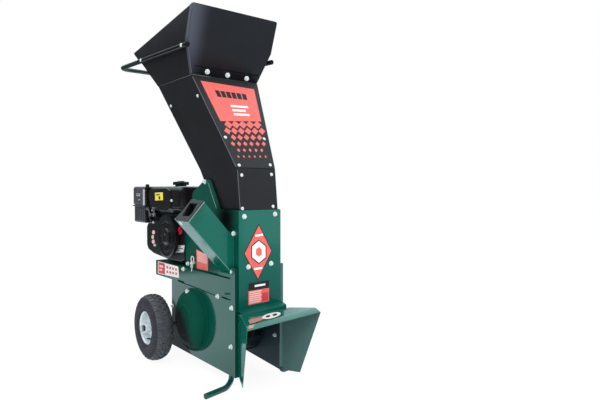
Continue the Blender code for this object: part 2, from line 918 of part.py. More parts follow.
def flip_outwards(obj, inside=(0.0, 0.25, 0.9)):
    """Turns each face of an open surface away from a point inside it."""
    bm = bmesh.new()
    bm.from_mesh(obj.data)
    bm.normal_update()
    centre = Vector(inside)
    turned = [
        face for face in bm.faces if face.normal.dot(face.calc_center_median() - centre) < 0
    ]
    bmesh.ops.reverse_faces(bm, faces=turned)
    bm.to_mesh(obj.data)
    bm.free()


def chute_fronts():
    upper = [
        (-CHUTE_TOP_HW, FRONT_TOP_Y, CHUTE_TOP),
        (-CHUTE_FOLD_HW, FRONT_FOLD_Y, CHUTE_FOLD + 0.0006),
        (CHUTE_FOLD_HW, FRONT_FOLD_Y, CHUTE_FOLD + 0.0006),
        (CHUTE_TOP_HW, FRONT_TOP_Y, CHUTE_TOP),
    ]
    obj = shell("chute_front_upper", upper, [(0, 1, 2, 3)], SHEET, -1.0)
    flip_outwards(obj)
    finish(obj, BLACK, 0.4)
    half = CHUTE_END_HW + 0.001
    lower = [
        (-CHUTE_FOLD_HW, FRONT_FOLD_Y - 0.0003, CHUTE_FOLD - 0.0012),
        (-half, FRONT_END_Y, 0.6060),
        (-half, FRONT_END_Y, 0.5900),
        (half, FRONT_END_Y, 0.5900),
        (half, FRONT_END_Y, 0.6060),
        (CHUTE_FOLD_HW, FRONT_FOLD_Y - 0.0003, CHUTE_FOLD - 0.0012),
    ]
    obj = shell("chute_front_lower", lower, [(0, 1, 4, 5), (1, 2, 3, 4)], SHEET, -1.0)
    flip_outwards(obj)
    finish(obj, BLACK, 0.4)


def hop_front_y(z):
    return FRONT_TOP_Y - HOP_LEAN * (z - HOP_LOW)


def hopper_front():
    corner = 0.012
    rows = [
        (HOP_HW - corner, HOP_TOP),
        (HOP_HW, HOP_TOP - corner),
        (HOP_HW, HOP_BEND),
        (HOP_LOW_HW, HOP_LOW),
    ]
    left = [(-half, hop_front_y(z), z) for half, z in rows]
    right = [(half, y, z) for (half, z), (_, y, _) in zip(rows, left)]
    flange = 0.014
    back = Vector((0.0, flange, 0.0))
    wings = []
    for points in (left, right):
        wings.append([tuple(Vector(p) + back) for p in points[1:]])
    verts = left + right[::-1] + wings[0] + wings[1]
    faces = [tuple(range(8))]
    faces += [(1, 2, 9, 8), (2, 3, 10, 9)]
    faces += [(6, 5, 12, 11), (5, 4, 13, 12)]
    obj = shell("hopper_front", verts, faces, SHEET, -1.0)
    flip_outwards(obj, (0.0, 0.32, 1.2))
    return finish(obj, BLACK, 0.38)


def hopper_side(name, sign):
    upper = HOP_HW - SHEET - 2 * GAP
    lower = HOP_LOW_HW - SHEET - 2 * GAP
    skin = 0.0030

    def front(z):
        return hop_front_y(z) + skin

    outline = [
        (upper, front(HOP_TOP - 0.002), HOP_TOP - 0.002),
        (upper, HOP_REAR_Y, HOP_REAR_Z),
        (upper, HOP_REAR_Y - 0.014, HOP_REAR_Z - 0.015),
        (upper, HOP_KNEE_Y + 0.022, HOP_BEND),
        (upper, front(HOP_BEND), HOP_BEND),
        (lower, BACK_TOP_Y, HOP_LOW),
        (lower, front(HOP_LOW), HOP_LOW),
        (upper - 0.0055, HOP_KNEE_Y, HOP_KNEE_Z),
    ]
    verts = [(sign * x, y, z) for x, y, z in outline]
    faces = [(0, 1, 2, 3, 4), (4, 3, 7, 5, 6)]
    obj = shell(name, verts, faces, SHEET, -1.0)
    flip_outwards(obj, (0.0, 0.35, 1.2))
    return finish(obj, BLACK, 0.38)


def hopper_back():
    clear = SHEET + 2 * GAP
    upper = HOP_HW - SHEET - 2 * GAP - clear
    lower = HOP_LOW_HW - SHEET - 2 * GAP - clear
    verts = [
        (-upper, HOP_REAR_Y - 0.003, HOP_REAR_Z - 0.002),
        (upper, HOP_REAR_Y - 0.003, HOP_REAR_Z - 0.002),
        (upper - 0.006, HOP_KNEE_Y - 0.002, HOP_KNEE_Z),
        (-upper + 0.006, HOP_KNEE_Y - 0.002, HOP_KNEE_Z),
        (-lower, BACK_TOP_Y, HOP_LOW),
        (lower, BACK_TOP_Y, HOP_LOW),
    ]
    faces = [(0, 1, 2, 3), (3, 2, 5, 4)]
    obj = shell("hopper_back", verts, faces, SHEET, -1.0)
    flip_outwards(obj, (0.0, 0.3, 1.3))
    return finish(obj, BLACK, 0.42)


def chute_inside(z):
    """Half the width between the chute's sides at a height above the fold."""
    share = (z - CHUTE_FOLD) / (CHUTE_TOP - CHUTE_FOLD)
    return CHUTE_FOLD_HW + share * (CHUTE_TOP_HW - CHUTE_FOLD_HW) - SHEET


def hopper_flap():
    end = chute_inside(FLAP_Z) - FLAP_END_GAP
    rod = cylinder("hopper_flap", "x", (FLAP_Y, FLAP_Z), FLAP_ROD_R, -end, end, 12)
    bottom = FLAP_Z - FLAP_DROP
    wide = chute_inside(FLAP_Z) - FLAP_SIDE_GAP
    narrow = chute_inside(bottom) - FLAP_SIDE_GAP
    sheet = [(-wide, FLAP_Z), (-narrow, bottom), (narrow, bottom), (wide, FLAP_Z)]
    swapped = [(z, x) for x, z in sheet]
    faces = FLAP_Y - FLAP_HALF, FLAP_Y + FLAP_HALF
    curtain = slab("flap_sheet", "y", swapped, *faces)
    join(rod, curtain)
    return finish(rod, RUBBER, 0.85)


def handle_bar():
    back_z = HANDLE_Z + HANDLE_RISE
    corners = [
        (-HANDLE_X, HANDLE_FRONT, HANDLE_Z),
        (-HANDLE_X, HANDLE_BACK, back_z),
        (HANDLE_X, HANDLE_BACK, back_z),
        (HANDLE_X, HANDLE_FRONT, HANDLE_Z),
    ]
    path = rounded_path(corners, 0.050, 5)
    slope = HANDLE_RISE / (HANDLE_BACK - HANDLE_FRONT)
    obj = tube("handle_bar", path, TUBE_R)
    for y, reach in ((0.235, 0.1745), (0.584, 0.1804)):
        z = HANDLE_Z + slope * (y - HANDLE_FRONT)
        for sign in (-1, 1):
            low, high = sorted((sign * reach, sign * (HANDLE_X - 0.004)))
            join(obj, cylinder("handle_spacer", "x", (y, z), 0.0060, low, high, 12))
    return finish(obj, BLACK, 0.35)


# Branch chute


def branch_frame():
    """Matrix whose Z is along the tube, out of the machine, whose X is across it and up."""
    out = Vector((-math.cos(BRANCH_TILT), 0.0, math.sin(BRANCH_TILT)))
    up = Vector((math.sin(BRANCH_TILT), 0.0, math.cos(BRANCH_TILT)))
    side = out.cross(up)
    frame = Matrix((up, side, out)).transposed().to_4x4()
    return Matrix.Translation(MOUTH) @ frame


def branch_slab(name, outline, start, end, holes=()):
    obj = slab(name, "z", outline, start, end, holes)
    obj.data.transform(branch_frame())
    return obj


def rectangle(half_u, half_v):
    return [(-half_u, -half_v), (half_u, -half_v), (half_u, half_v), (-half_u, half_v)]


def branch_chute():
    half_h = BRANCH_H / 2
    half_w = (BRANCH_Y1 - BRANCH_Y0) / 2
    hollow = [rectangle(half_h - PLATE, half_w - PLATE)]
    obj = branch_slab("branch_chute", rectangle(half_h, half_w), -0.340, 0.0, hollow)
    inside = box("branch_end", (-UPPER_OUT - GAP, -0.1, 0.0), (0.4, 0.3, 0.7))
    cut(obj, inside)
    base = DECK_TOP + GAP
    plate = [(0.026, base), (0.130, base), (0.130, 0.531), (0.026, 0.531)]
    opening = [(0.0385, 0.3835), (0.1175, 0.3835), (0.1175, 0.5075), (0.0385, 0.5075)]
    low = -UPPER_OUT - GAP - PLATE
    flange = slab("branch_flange", "x", plate, low, -UPPER_OUT - GAP, [opening])
    bore = branch_slab("branch_bore", hollow[0], -0.34, 0.01)
    join(obj, flange)
    cut(obj, bore)
    return finish(obj, GREEN, 0.35)


def branch_rim():
    half_h = BRANCH_H / 2
    half_w = (BRANCH_Y1 - BRANCH_Y0) / 2
    hole = [rectangle(half_h - 0.0075, half_w - 0.0075)]
    obj = branch_slab(
        "branch_chute_rim", rectangle(half_h + 0.002, half_w + 0.002), GAP, 0.009, hole
    )
    bevel(obj, 0.0015)
    return finish(obj, RUBBER, 0.8)


def branch_flap():
    frame = branch_frame()
    hinge = frame @ Vector((0.0370, 0.0, -0.0120))
    rod = cylinder(
        "branch_chute_flap", "y", (hinge.z, hinge.x), 0.0025, 0.0385, 0.1175, 10
    )
    sheet = box(
        "flap_leaf",
        (hinge.x - 0.0015, 0.0420, hinge.z - 0.0730),
        (hinge.x + 0.0015, 0.1140, hinge.z),
    )
    join(rod, sheet)
    return finish(rod, RUBBER, 0.85)


# Discharge guard


def discharge_guard():
    slope = (GUARD_TOP_HW - GUARD_REAR_HW) / (GUARD_REAR_Y - GUARD_OUT_Y)

    def half(y):
        return GUARD_REAR_HW + slope * (GUARD_REAR_Y - y)

    top = ROD_Z + 0.0054
    right = [
        (half(ROD_Y), ROD_Y, top),
        (half(GUARD_BEND_Y), GUARD_BEND_Y, GUARD_BEND_Z),
        (half(GUARD_OUT_Y), GUARD_OUT_Y, GUARD_OUT_Z),
        (half(-0.076), -0.076, 0.030),
        (half(-0.012), -0.012, 0.045),
        (half(GUARD_REAR_Y), GUARD_REAR_Y, 0.240),
    ]
    verts = right + mirrored(right)
    faces = [(0, 6, 7, 1), (1, 7, 8, 2), (0, 1, 2, 3, 4, 5), (6, 11, 10, 9, 8, 7)]
    obj = shell("discharge_guard", verts, faces, SHEET, -1.0)
    flip_outwards(obj, (0.0, -0.06, 0.12))
    end = LIP_HW - PLATE - 0.0006
    knuckle = cylinder("guard_knuckle", "x", (ROD_Y, ROD_Z), 0.0056, -end, end, 16)
    bore_r = (0.003 + RUN) / math.cos(math.pi / 16)
    bore = cylinder("guard_bore", "x", (ROD_Y, ROD_Z), bore_r, -0.0990, 0.0990, 16)
    join(obj, knuckle)
    for sign in (-1, 1):
        low, high = sorted((sign * (end + 0.0001), sign * (LIP_HW + 0.0010)))
        notch = box("guard_notch", (low, -0.0550, 0.2350), (high, -0.0200, 0.2640))
        cut(obj, notch)
    cut(obj, bore)
    return finish(obj, GREEN, 0.35)


def guard_rod():
    end = LIP_HW - PLATE - GAP
    rod = cylinder("guard_hinge_rod", "x", (ROD_Y, ROD_Z), 0.003, -end, end, 16)
    return finish(rod, ZINC, 0.3, 1.0)


# Engine, in a frame whose y = 0 and z = 0 lie on the crank axis

HEAD_END = 0.152
BLOCK_X0 = -0.045
BLOCK_X1 = 0.090
SHROUD_FACE = -0.0920
SHROUD_REAR = -0.0453
FEET_Z = DECK_TOP + GAP - CRANK_Z
TANK_Y0 = -0.130
TANK_Y1 = 0.200
TANK_Z0 = 0.102
TANK_Z1 = 0.207
CAP = (-0.050, 0.001)
ROPE = (-0.0565, 0.0010)
AXIS = (0.0, 0.0)
SHROUD = [
    (-0.113, -0.087),
    (-0.085, -0.098),
    (0.045, -0.101),
    (0.185, -0.091),
    (0.257, -0.073),
    (0.271, -0.054),
    (0.271, 0.023),
    (0.257, 0.042),
    (0.201, 0.044),
    (0.189, 0.078),
    (0.125, 0.094),
    (-0.085, 0.096),
    (-0.113, 0.078),
]


def barrel_frame():
    """Matrix whose Y is along the cylinder, up and to the rear."""
    return Matrix.Translation((0.0, 0.075, -0.012)) @ Matrix.Rotation(math.radians(25), 4, "X")


def engine_block():
    case = box("engine_block", (BLOCK_X0, -0.090, -0.104), (BLOCK_X1, 0.097, 0.093))
    bevel(case, 0.010)
    base = box("engine_feet", (BLOCK_X0, -0.115, FEET_Z), (BLOCK_X1, 0.140, -0.1015))
    join(case, base)
    turn = barrel_frame()
    barrel = box("engine_barrel", (-0.012, 0.0, -0.036), (0.058, HEAD_END, 0.036))
    barrel.data.transform(turn)
    join(case, barrel)
    for i in range(7):
        reach = 0.030 + i * 0.0185
        half = 0.044 if i else 0.040
        fin = box("engine_fin", (-0.022, reach, -half), (0.068, reach + 0.0055, half))
        fin.data.transform(turn)
        join(case, fin)
    for y in (-0.075, 0.075):
        low = (-0.010, y - 0.010, 0.078)
        high = (0.030, y + 0.010, TANK_Z0 - 0.0005)
        join(case, box("tank_post", low, high))
    for z in (-0.082, 0.074):
        inner_face = SHROUD_FACE + 0.0025
        join(case, cylinder("shroud_boss", "x", (-0.071, z), 0.0060, inner_face, -0.0400, 12))
    bore = cylinder("crank_bore", "x", AXIS, SHAFT_R + 0.0003, -0.1, 0.1, 24)
    cut(case, bore)
    return finish(case, ALUMINIUM, 0.5, 0.7, ENGINE)


def crankshaft():
    shaft = cylinder("crankshaft", "x", AXIS, SHAFT_R, -0.060, 0.1765, 24)
    wheel = cylinder("flywheel", "x", AXIS, 0.084, -0.079, -0.052, 32)
    join(shaft, wheel)
    return finish(shaft, STEEL, 0.35, 1.0, ENGINE)


def fan_shroud():
    wall = 0.0022
    obj = slab("fan_shroud", "x", SHROUD, SHROUD_FACE, SHROUD_REAR)
    bevel(obj, 0.005, 2, 40)
    hollow = slab("shroud_space", "x", inset(SHROUD, wall), SHROUD_FACE + wall, -0.030)
    window = cylinder("shroud_window", "x", AXIS, 0.078, -0.12, -0.05, 32)
    face = SHROUD_FACE + 0.001
    pad = box("switch_pad", (-0.0985, -0.1115, 0.0110), (face, -0.0860, 0.0470))
    plate = box("control_plate", (-0.1145, 0.1130, 0.0740), (face, 0.1850, 0.0930))
    cut(obj, hollow)
    cut(obj, window)
    join(obj, pad, plate)
    return finish(obj, PLASTIC, 0.45, 0.0, ENGINE)


def recoil_cover():
    start = SHROUD_FACE - GAP
    outer = [
        (0.0860, start),
        (0.0860, start - 0.0020),
        (0.0835, start - 0.0040),
        (0.0800, start - 0.0240),
        (0.0740, start - 0.0275),
        (0.0340, start - 0.0285),
        (0.0300, start - 0.0315),
        (0.0000, start - 0.0315),
    ]
    inner = [
        (0.0000, start - 0.0290),
        (0.0290, start - 0.0290),
        (0.0330, start - 0.0262),
        (0.0730, start - 0.0252),
        (0.0778, start - 0.0230),
        (0.0805, start),
    ]
    obj = revolve("recoil_cover", "x", AXIS, outer + inner, 32)
    for i in range(8):
        slot = box("recoil_slot", (-0.1300, 0.045, -0.0045), (-0.1120, 0.068, 0.0045))
        slot.data.transform(Matrix.Rotation(math.radians(22.5 + 45 * i), 4, "X"))
        cut(obj, slot)
    hole = cylinder("rope_hole", "x", ROPE, 0.0024, -0.1300, -0.1120, 12)
    cut(obj, hole)
    return finish(obj, PLASTIC, 0.4, 0.0, ENGINE)


def recoil_grip():
    rope = cylinder("recoil_rope", "x", ROPE, 0.0020, -0.1236, -0.1100, 10)
    finish(rope, (0.05, 0.05, 0.05), 0.9, 0.0, ENGINE)
    low = (-0.1390, ROPE[0] - 0.0080, ROPE[1] - 0.0230)
    high = (-0.1260, ROPE[0] + 0.0080, ROPE[1] + 0.0230)
    bar = box("recoil_grip", low, high)
    bevel(bar, 0.005, 2)
    stem = cylinder("grip_stem", "x", ROPE, 0.0055, -0.1300, -0.1239, 12)
    join(bar, stem)
    return finish(bar, PLASTIC, 0.5, 0.0, ENGINE)


def fuel_tank():
    obj = box("fuel_tank", (-0.115, TANK_Y0, TANK_Z0), (0.085, TANK_Y1, TANK_Z1))
    bevel(obj, 0.020, 3)
    neck = cylinder("tank_neck", "z", CAP, 0.0240, TANK_Z1 - 0.019, TANK_Z1 + 0.009, 20)
    join(obj, neck)
    return finish(obj, PLASTIC, 0.35, 0.0, ENGINE)


def fuel_cap():
    seat = TANK_Z1 + 0.0093
    profile = [
        (0.0000, seat),
        (0.0252, seat),
        (0.0252, seat - 0.0043),
        (0.0330, seat - 0.0043),
        (0.0340, seat + 0.0097),
        (0.0300, seat + 0.0137),
        (0.0000, seat + 0.0137),
    ]
    obj = revolve("fuel_cap", "z", CAP, profile, 24)
    for u, v in circle_points(CAP, 0.0370, 8):
        cut(obj, cylinder("cap_notch", "z", (u, v), 0.0060, seat - 0.01, seat + 0.02, 8))
    return finish(obj, PLASTIC, 0.5, 0.0, ENGINE)


def air_cleaner():
    low = (-0.1275, TANK_Y1 + 0.007, 0.0450)
    high = (SHROUD_REAR + 0.003, TANK_Y1 + 0.143, TANK_Z1)
    obj = box("air_cleaner", low, high)
    bevel(obj, 0.014, 2)
    return finish(obj, PLASTIC, 0.5, 0.0, ENGINE)


def carburetor():
    body = box("carburetor", (SHROUD_REAR + 0.0033, 0.229, 0.083), (0.0040, 0.275, 0.123))
    bevel(body, 0.005)
    bowl = cylinder("carb_bowl", "z", (-0.019, 0.255), 0.0160, 0.074, 0.087, 16)
    stub = box("carb_stub", (-0.0100, HEAD_END + GAP, -0.0100), (0.0030, 0.190, 0.034))
    stub.data.transform(barrel_frame())
    join(body, bowl, stub)
    return finish(body, ALUMINIUM, 0.4, 0.8, ENGINE)


def levers():
    x = -0.1148
    z = 0.0835
    for name, y, tilt, length in (
        ("choke_lever", 0.167, 35, 0.034),
        ("throttle_lever", 0.127, -20, 0.032),
    ):
        hub = cylinder(name, "x", (y, z), 0.0075, x - 0.0045, x, 12)
        arm = box(name + "_arm", (x - 0.0045, -0.0035, 0.0), (x - 0.0015, 0.0035, length))
        low = (x - 0.0130, -0.0050, length - 0.008)
        high = (x - 0.0020, 0.0050, length + 0.002)
        knob = box(name + "_knob", low, high)
        turn = Matrix.Translation((0.0, y, z)) @ Matrix.Rotation(math.radians(-tilt), 4, "X")
        arm.data.transform(turn)
        knob.data.transform(turn)
        join(hub, arm, knob)
        finish(hub, ZINC, 0.35, 0.8, ENGINE)


def muffler():
    obj = box("muffler", (0.0120, TANK_Y1 + 0.022, 0.088), (0.0900, TANK_Y1 + 0.123, 0.186))
    bevel(obj, 0.014, 2)
    pipe_end = TANK_Y1 + 0.137
    pipe = cylinder("muffler_pipe", "y", (0.158, 0.051), 0.010, pipe_end - 0.022, pipe_end, 12)
    stub = box("muffler_stub", (0.0220, HEAD_END + GAP, 0.002), (0.0480, 0.190, 0.034))
    stub.data.transform(barrel_frame())
    join(obj, pipe, stub)
    return finish(obj, DARK_STEEL, 0.6, 0.7, ENGINE)


def engine_switch():
    obj = box("engine_switch", (-0.1065, -0.1085, 0.0155), (-0.1003, -0.0890, 0.0425))
    bevel(obj, 0.0020)
    neck = box("switch_neck", (-0.1010, -0.1050, 0.0270), (-0.0988, -0.0930, 0.0310))
    join(obj, neck)
    return finish(obj, RED, 0.4, 0.0, ENGINE)


base_side("base_side_left", -1)
base_side("base_side_right", 1)
engine_deck()
upper_housing()
front_plate()
stand_foot("stand_foot_left", -1, 0.213)
stand_foot("stand_foot_right", 1, 0.198)
latch()
rotor_scroll()
discharge_screen()
rotor()
bearing("bearing_left", -1)
bearing("bearing_right", 1)
bearing_cover()
belt_drive()
belt_guard()
wheels()
chute_body()
chute_fronts()
hopper_front()
hopper_side("hopper_side_left", -1)
hopper_side("hopper_side_right", 1)
hopper_back()
hopper_flap()
handle_bar()
branch_chute()
branch_rim()
branch_flap()
discharge_guard()
guard_rod()
engine_block()
crankshaft()
fan_shroud()
recoil_cover()
recoil_grip()
fuel_tank()
fuel_cap()
air_cleaner()
carburetor()
levers()
muffler()
engine_switch()
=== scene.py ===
"""Looks of a walk-behind chipper shredder: finishes, folded sheet, fasteners, tyres and engine covers."""

import json
import math

import bmesh
import bpy
from mathutils import Matrix, Vector
from mathutils.bvhtree import BVHTree

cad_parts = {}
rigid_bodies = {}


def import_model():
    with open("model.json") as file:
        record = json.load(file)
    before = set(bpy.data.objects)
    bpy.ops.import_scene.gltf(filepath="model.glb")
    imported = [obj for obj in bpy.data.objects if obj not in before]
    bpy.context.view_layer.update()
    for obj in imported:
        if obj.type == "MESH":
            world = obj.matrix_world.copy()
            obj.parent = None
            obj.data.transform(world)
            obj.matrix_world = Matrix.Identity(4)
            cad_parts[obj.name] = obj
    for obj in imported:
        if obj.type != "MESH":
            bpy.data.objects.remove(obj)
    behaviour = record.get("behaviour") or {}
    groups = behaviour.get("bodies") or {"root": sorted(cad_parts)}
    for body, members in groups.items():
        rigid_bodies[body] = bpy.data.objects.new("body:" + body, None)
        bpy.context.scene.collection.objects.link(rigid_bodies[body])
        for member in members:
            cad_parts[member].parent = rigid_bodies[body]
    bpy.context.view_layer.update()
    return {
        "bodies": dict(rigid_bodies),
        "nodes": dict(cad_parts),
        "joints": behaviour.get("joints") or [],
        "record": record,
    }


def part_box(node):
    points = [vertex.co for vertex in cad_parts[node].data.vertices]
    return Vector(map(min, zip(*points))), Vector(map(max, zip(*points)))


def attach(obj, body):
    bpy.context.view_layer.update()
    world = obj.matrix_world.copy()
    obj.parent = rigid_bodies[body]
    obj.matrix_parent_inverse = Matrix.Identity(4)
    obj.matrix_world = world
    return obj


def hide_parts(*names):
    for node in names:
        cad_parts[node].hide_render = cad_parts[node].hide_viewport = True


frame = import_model()
NODES = frame["nodes"]

# Working frame: x = 0 in the middle of the base, y = 0 at its front edge, z = 0 on the ground
SIDE_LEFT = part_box("base_side_left")
SIDE_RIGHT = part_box("base_side_right")
ORIGIN = Vector(((SIDE_LEFT[0].x + SIDE_RIGHT[1].x) / 2, SIDE_LEFT[0].y, 0.0))


def own_box(node):
    """A CAD node's box in the working frame."""
    low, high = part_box(node)
    return low - ORIGIN, high - ORIGIN


# Camera at the photograph's viewing angle, for a picture of 600 x 400

PICTURE_WIDTH = 600
PICTURE_HEIGHT = 400
FOCAL_PIXELS = 526.2
CAMERA_PLACE = Vector((-1.025, -1.527, 0.679))
CAMERA_YAW = 38.25
CAMERA_DIP = 1.23


def camera():
    data = bpy.data.cameras.new("camera")
    data.sensor_width = 36.0
    data.lens = data.sensor_width * FOCAL_PIXELS / PICTURE_WIDTH
    data.clip_start = 0.05
    data.clip_end = 50.0
    obj = bpy.data.objects.new("camera", data)
    bpy.context.scene.collection.objects.link(obj)
    obj.location = CAMERA_PLACE + ORIGIN
    obj.rotation_euler = (math.radians(90 - CAMERA_DIP), 0.0, math.radians(-CAMERA_YAW))
    bpy.context.scene.camera = obj


# Node helpers for materials


def shader_tree(name):
    mat = bpy.data.materials.new(name)
    mat.use_nodes = True
    tree = mat.node_tree
    return mat, tree, tree.nodes["Principled BSDF"]


def add_node(tree, kind, inputs):
    """Shader node with its inputs by name, each of them a constant or another node's output."""
    node = tree.nodes.new("ShaderNode" + kind)
    for name, value in inputs.items():
        if isinstance(value, bpy.types.NodeSocket):
            tree.links.new(value, node.inputs[name])
        else:
            node.inputs[name].default_value = value
    return node


def coordinates(tree, kind="Object"):
    """Coordinates of a point, whole and as x, y and z."""
    whole = tree.nodes.new("ShaderNodeTexCoord").outputs[kind]
    return whole, add_node(tree, "SeparateXYZ", {"Vector": whole}).outputs


def noise(tree, vector, scale, detail, roughness):
    inputs = {"Vector": vector, "Scale": scale, "Detail": detail, "Roughness": roughness}
    return add_node(tree, "TexNoise", inputs).outputs["Fac"]


def map_range(tree, value, start, stop, low, high):
    inputs = {"Value": value, "From Min": start, "From Max": stop, "To Min": low, "To Max": high}
    return add_node(tree, "MapRange", inputs)


def spread(tree, value, low, high):
    """Maps a noise value to a range."""
    return map_range(tree, value, 0.3, 0.7, low, high).outputs["Result"]


def ramp(tree, value, start, stop, low=0.0, high=1.0):
    """Soft step of a value."""
    node = map_range(tree, value, start, stop, low, high)
    node.interpolation_type = "SMOOTHSTEP"
    return node.outputs["Result"]


def combine(tree, operation, *values):
    """Runs an operation over values one after another."""
    result = values[0]
    for value in values[1:]:
        node = tree.nodes.new("ShaderNodeMath")
        node.operation = operation
        for socket, source in zip(node.inputs, (result, value)):
            if isinstance(source, float):
                socket.default_value = source
            else:
                tree.links.new(source, socket)
        result = node.outputs[0]
    return result


def vector_math(tree, operation, vector, other):
    """Number that an operation makes of a vector and a constant one."""
    node = tree.nodes.new("ShaderNodeVectorMath")
    node.operation = operation
    tree.links.new(vector, node.inputs[0])
    node.inputs[1].default_value = other
    return node.outputs["Value"]


def two_tones(tree, share, first, second):
    """Mixes two tones by a share. A tone is three numbers or another node's output."""
    node = tree.nodes.new("ShaderNodeMix")
    node.data_type = "RGBA"
    tree.links.new(share, node.inputs["Factor"])
    for name, tone in (("A", first), ("B", second)):
        if isinstance(tone, tuple):
            node.inputs[name].default_value = (*tone, 1.0)
        else:
            tree.links.new(tone, node.inputs[name])
    return node.outputs["Result"]


# Finishes

CLOUD_NOISE = (5.0, 0.6)
PATCH_NOISE = (4.0, 0.65)
GRAIN_NOISE = (2.0, 0.5)
PATCHES_PER_CLOUD = 3.0
GRAIN_DEPTH = 0.0004


def finish_material(
    name,
    first,
    second,
    rough,
    metallic=0.0,
    cloud=9.0,
    grain=900.0,
    height=0.25,
    specular=0.5,
    coat=0.0,
    stretch=(1.0, 1.0, 1.0),
    coat_rough=0.12,
):
    """A finish with cloudy colour, uneven gloss and a fine surface grain."""
    mat, tree, shader = shader_tree(name)
    mapping = add_node(tree, "Mapping", {"Vector": coordinates(tree)[0], "Scale": stretch})
    vector = mapping.outputs["Vector"]
    clouds = spread(tree, noise(tree, vector, cloud, *CLOUD_NOISE), 0.0, 1.0)
    tone = two_tones(tree, clouds, first, second)
    gloss = spread(tree, noise(tree, vector, cloud * PATCHES_PER_CLOUD, *PATCH_NOISE), *rough)
    surface_grain = noise(tree, vector, grain, *GRAIN_NOISE)
    bump = add_node(tree, "Bump", {"Strength": height, "Distance": GRAIN_DEPTH, "Height": surface_grain})
    tree.links.new(tone, shader.inputs["Base Color"])
    tree.links.new(gloss, shader.inputs["Roughness"])
    tree.links.new(bump.outputs["Normal"], shader.inputs["Normal"])
    shader.inputs["Metallic"].default_value = metallic
    shader.inputs["Specular IOR Level"].default_value = specular
    shader.inputs["Coat Weight"].default_value = coat
    shader.inputs["Coat Roughness"].default_value = coat_rough
    return mat


MATERIALS = {}


def finish(key, first, second, rough, base, **more):
    """Adds a finish: two tones, the range of its roughness, a base kind and what differs from it."""
    MATERIALS[key] = finish_material(key + "_finish", first, second, rough, **{**base, **more})


SEMI = (0.3, 0.4)
EVEN = (0.3, 0.42)
HIGHLIGHT_ROUGH = (0.3, 0.45)
SOFT = (0.45, 0.6)
ROUGH = (0.5, 0.68)
DULL = (0.55, 0.7)
MATT = (0.7, 0.85)

LACQUER = {"grain": 420.0, "height": 0.05, "specular": 0.0, "coat": 1.0}
PAINT = {"grain": 420.0, "height": 0.1}
POWDER = {"grain": 1300.0, "height": 0.2}
JOINT = {"specular": 0.02}
RIM = {"cloud": 20.0, "grain": 800.0, "height": 0.12}
ZINC = {"cloud": 60.0, "grain": 1500.0, "height": 0.12}
PRINT = {"cloud": 60.0, "height": 0.06}
METAL = {"metallic": 1.0, "cloud": 30.0}
RUBBER = {"grain": 1100.0}
PLASTIC = {"grain": 1500.0}

# Paint
finish("green", (0.001, 0.066, 0.046), (0.0018, 0.072, 0.051), SEMI, LACQUER, coat_rough=0.06)
# Painted light: a lighter copy of the green for the faces that look to the front
finish("front_green", (0.003, 0.118, 0.086), (0.004, 0.128, 0.094), SEMI, LACQUER, coat_rough=0.08)
finish("satin_green", (0.002, 0.086, 0.064), (0.003, 0.094, 0.071), (0.35, 0.45), PAINT, height=0.05,
       specular=0.12)
# Painted light: a lighter, greyer green for inner faces lit by light from the open front
finish("inside_green_painted_light", (0.064, 0.134, 0.131), (0.082, 0.166, 0.162), SOFT, PAINT, cloud=6.0, specular=0.15)
# Painted shade: dark bluish tone of the outlet's inner wall
finish("liner", (0.024, 0.044, 0.058), (0.034, 0.06, 0.076), SOFT, PAINT, cloud=8.0, specular=0.2)
# Painted shade: dark tone of the discharge screen deep inside the housing
finish("screen_painted_shade", (0.01, 0.018, 0.024), (0.014, 0.024, 0.031), DULL, PAINT, cloud=8.0, specular=0.05)
finish("deep_green", (0.001, 0.064, 0.042), (0.0015, 0.068, 0.046), DULL, PAINT, specular=0.06)
# Painted shade: a darker copy of the green for the left plate's front flange
finish("flange_green_painted_shade", (0.0008, 0.04, 0.028), (0.0012, 0.046, 0.033), DULL, PAINT, height=0.25, specular=0.04)
# Painted shade: darker, greener tone in the rims' pressed pockets
finish("pocket_painted_shade", (0.46, 0.54, 0.56), (0.56, 0.64, 0.66), EVEN, RIM, metallic=0.1)
finish("rim", (0.64, 0.71, 0.74), (0.78, 0.84, 0.88), (0.24, 0.36), RIM, metallic=0.3)
# Painted highlight: light green of the bright lines along green edges
finish("edge_green", (0.16, 0.27, 0.25), (0.24, 0.36, 0.34), HIGHLIGHT_ROUGH, {}, height=0.1)

# Joints and slots
finish("shadow", (0.001, 0.006, 0.006), (0.002, 0.01, 0.01), MATT, JOINT)
finish("seam_green", (0.002, 0.024, 0.02), (0.003, 0.034, 0.028), MATT, JOINT)
finish("slot_green", (0.006, 0.07, 0.058), (0.008, 0.082, 0.068), MATT, JOINT)

# Powder coat
finish("black", (0.014, 0.0128, 0.0152), (0.018, 0.0165, 0.019), SEMI, POWDER, specular=0.24)
finish("front_black", (0.01, 0.0112, 0.0155), (0.0128, 0.0142, 0.019), (0.4, 0.5), POWDER, specular=0.2)
# Painted shade: a darker, less shiny copy of the tube's black for the left leg beside the hopper
finish("leg_black_painted_shade", (0.005, 0.005, 0.006), (0.008, 0.008, 0.009), SEMI, POWDER, height=0.1, specular=0.12)
finish("tube_black", (0.01, 0.0105, 0.012), (0.015, 0.0155, 0.017), (0.16, 0.24), POWDER, height=0.1,
       specular=0.9)
# Painted highlight: light grey of the bright lines along black edges
finish("edge_black", (0.08, 0.084, 0.095), (0.12, 0.125, 0.138), HIGHLIGHT_ROUGH, POWDER, height=0.15)

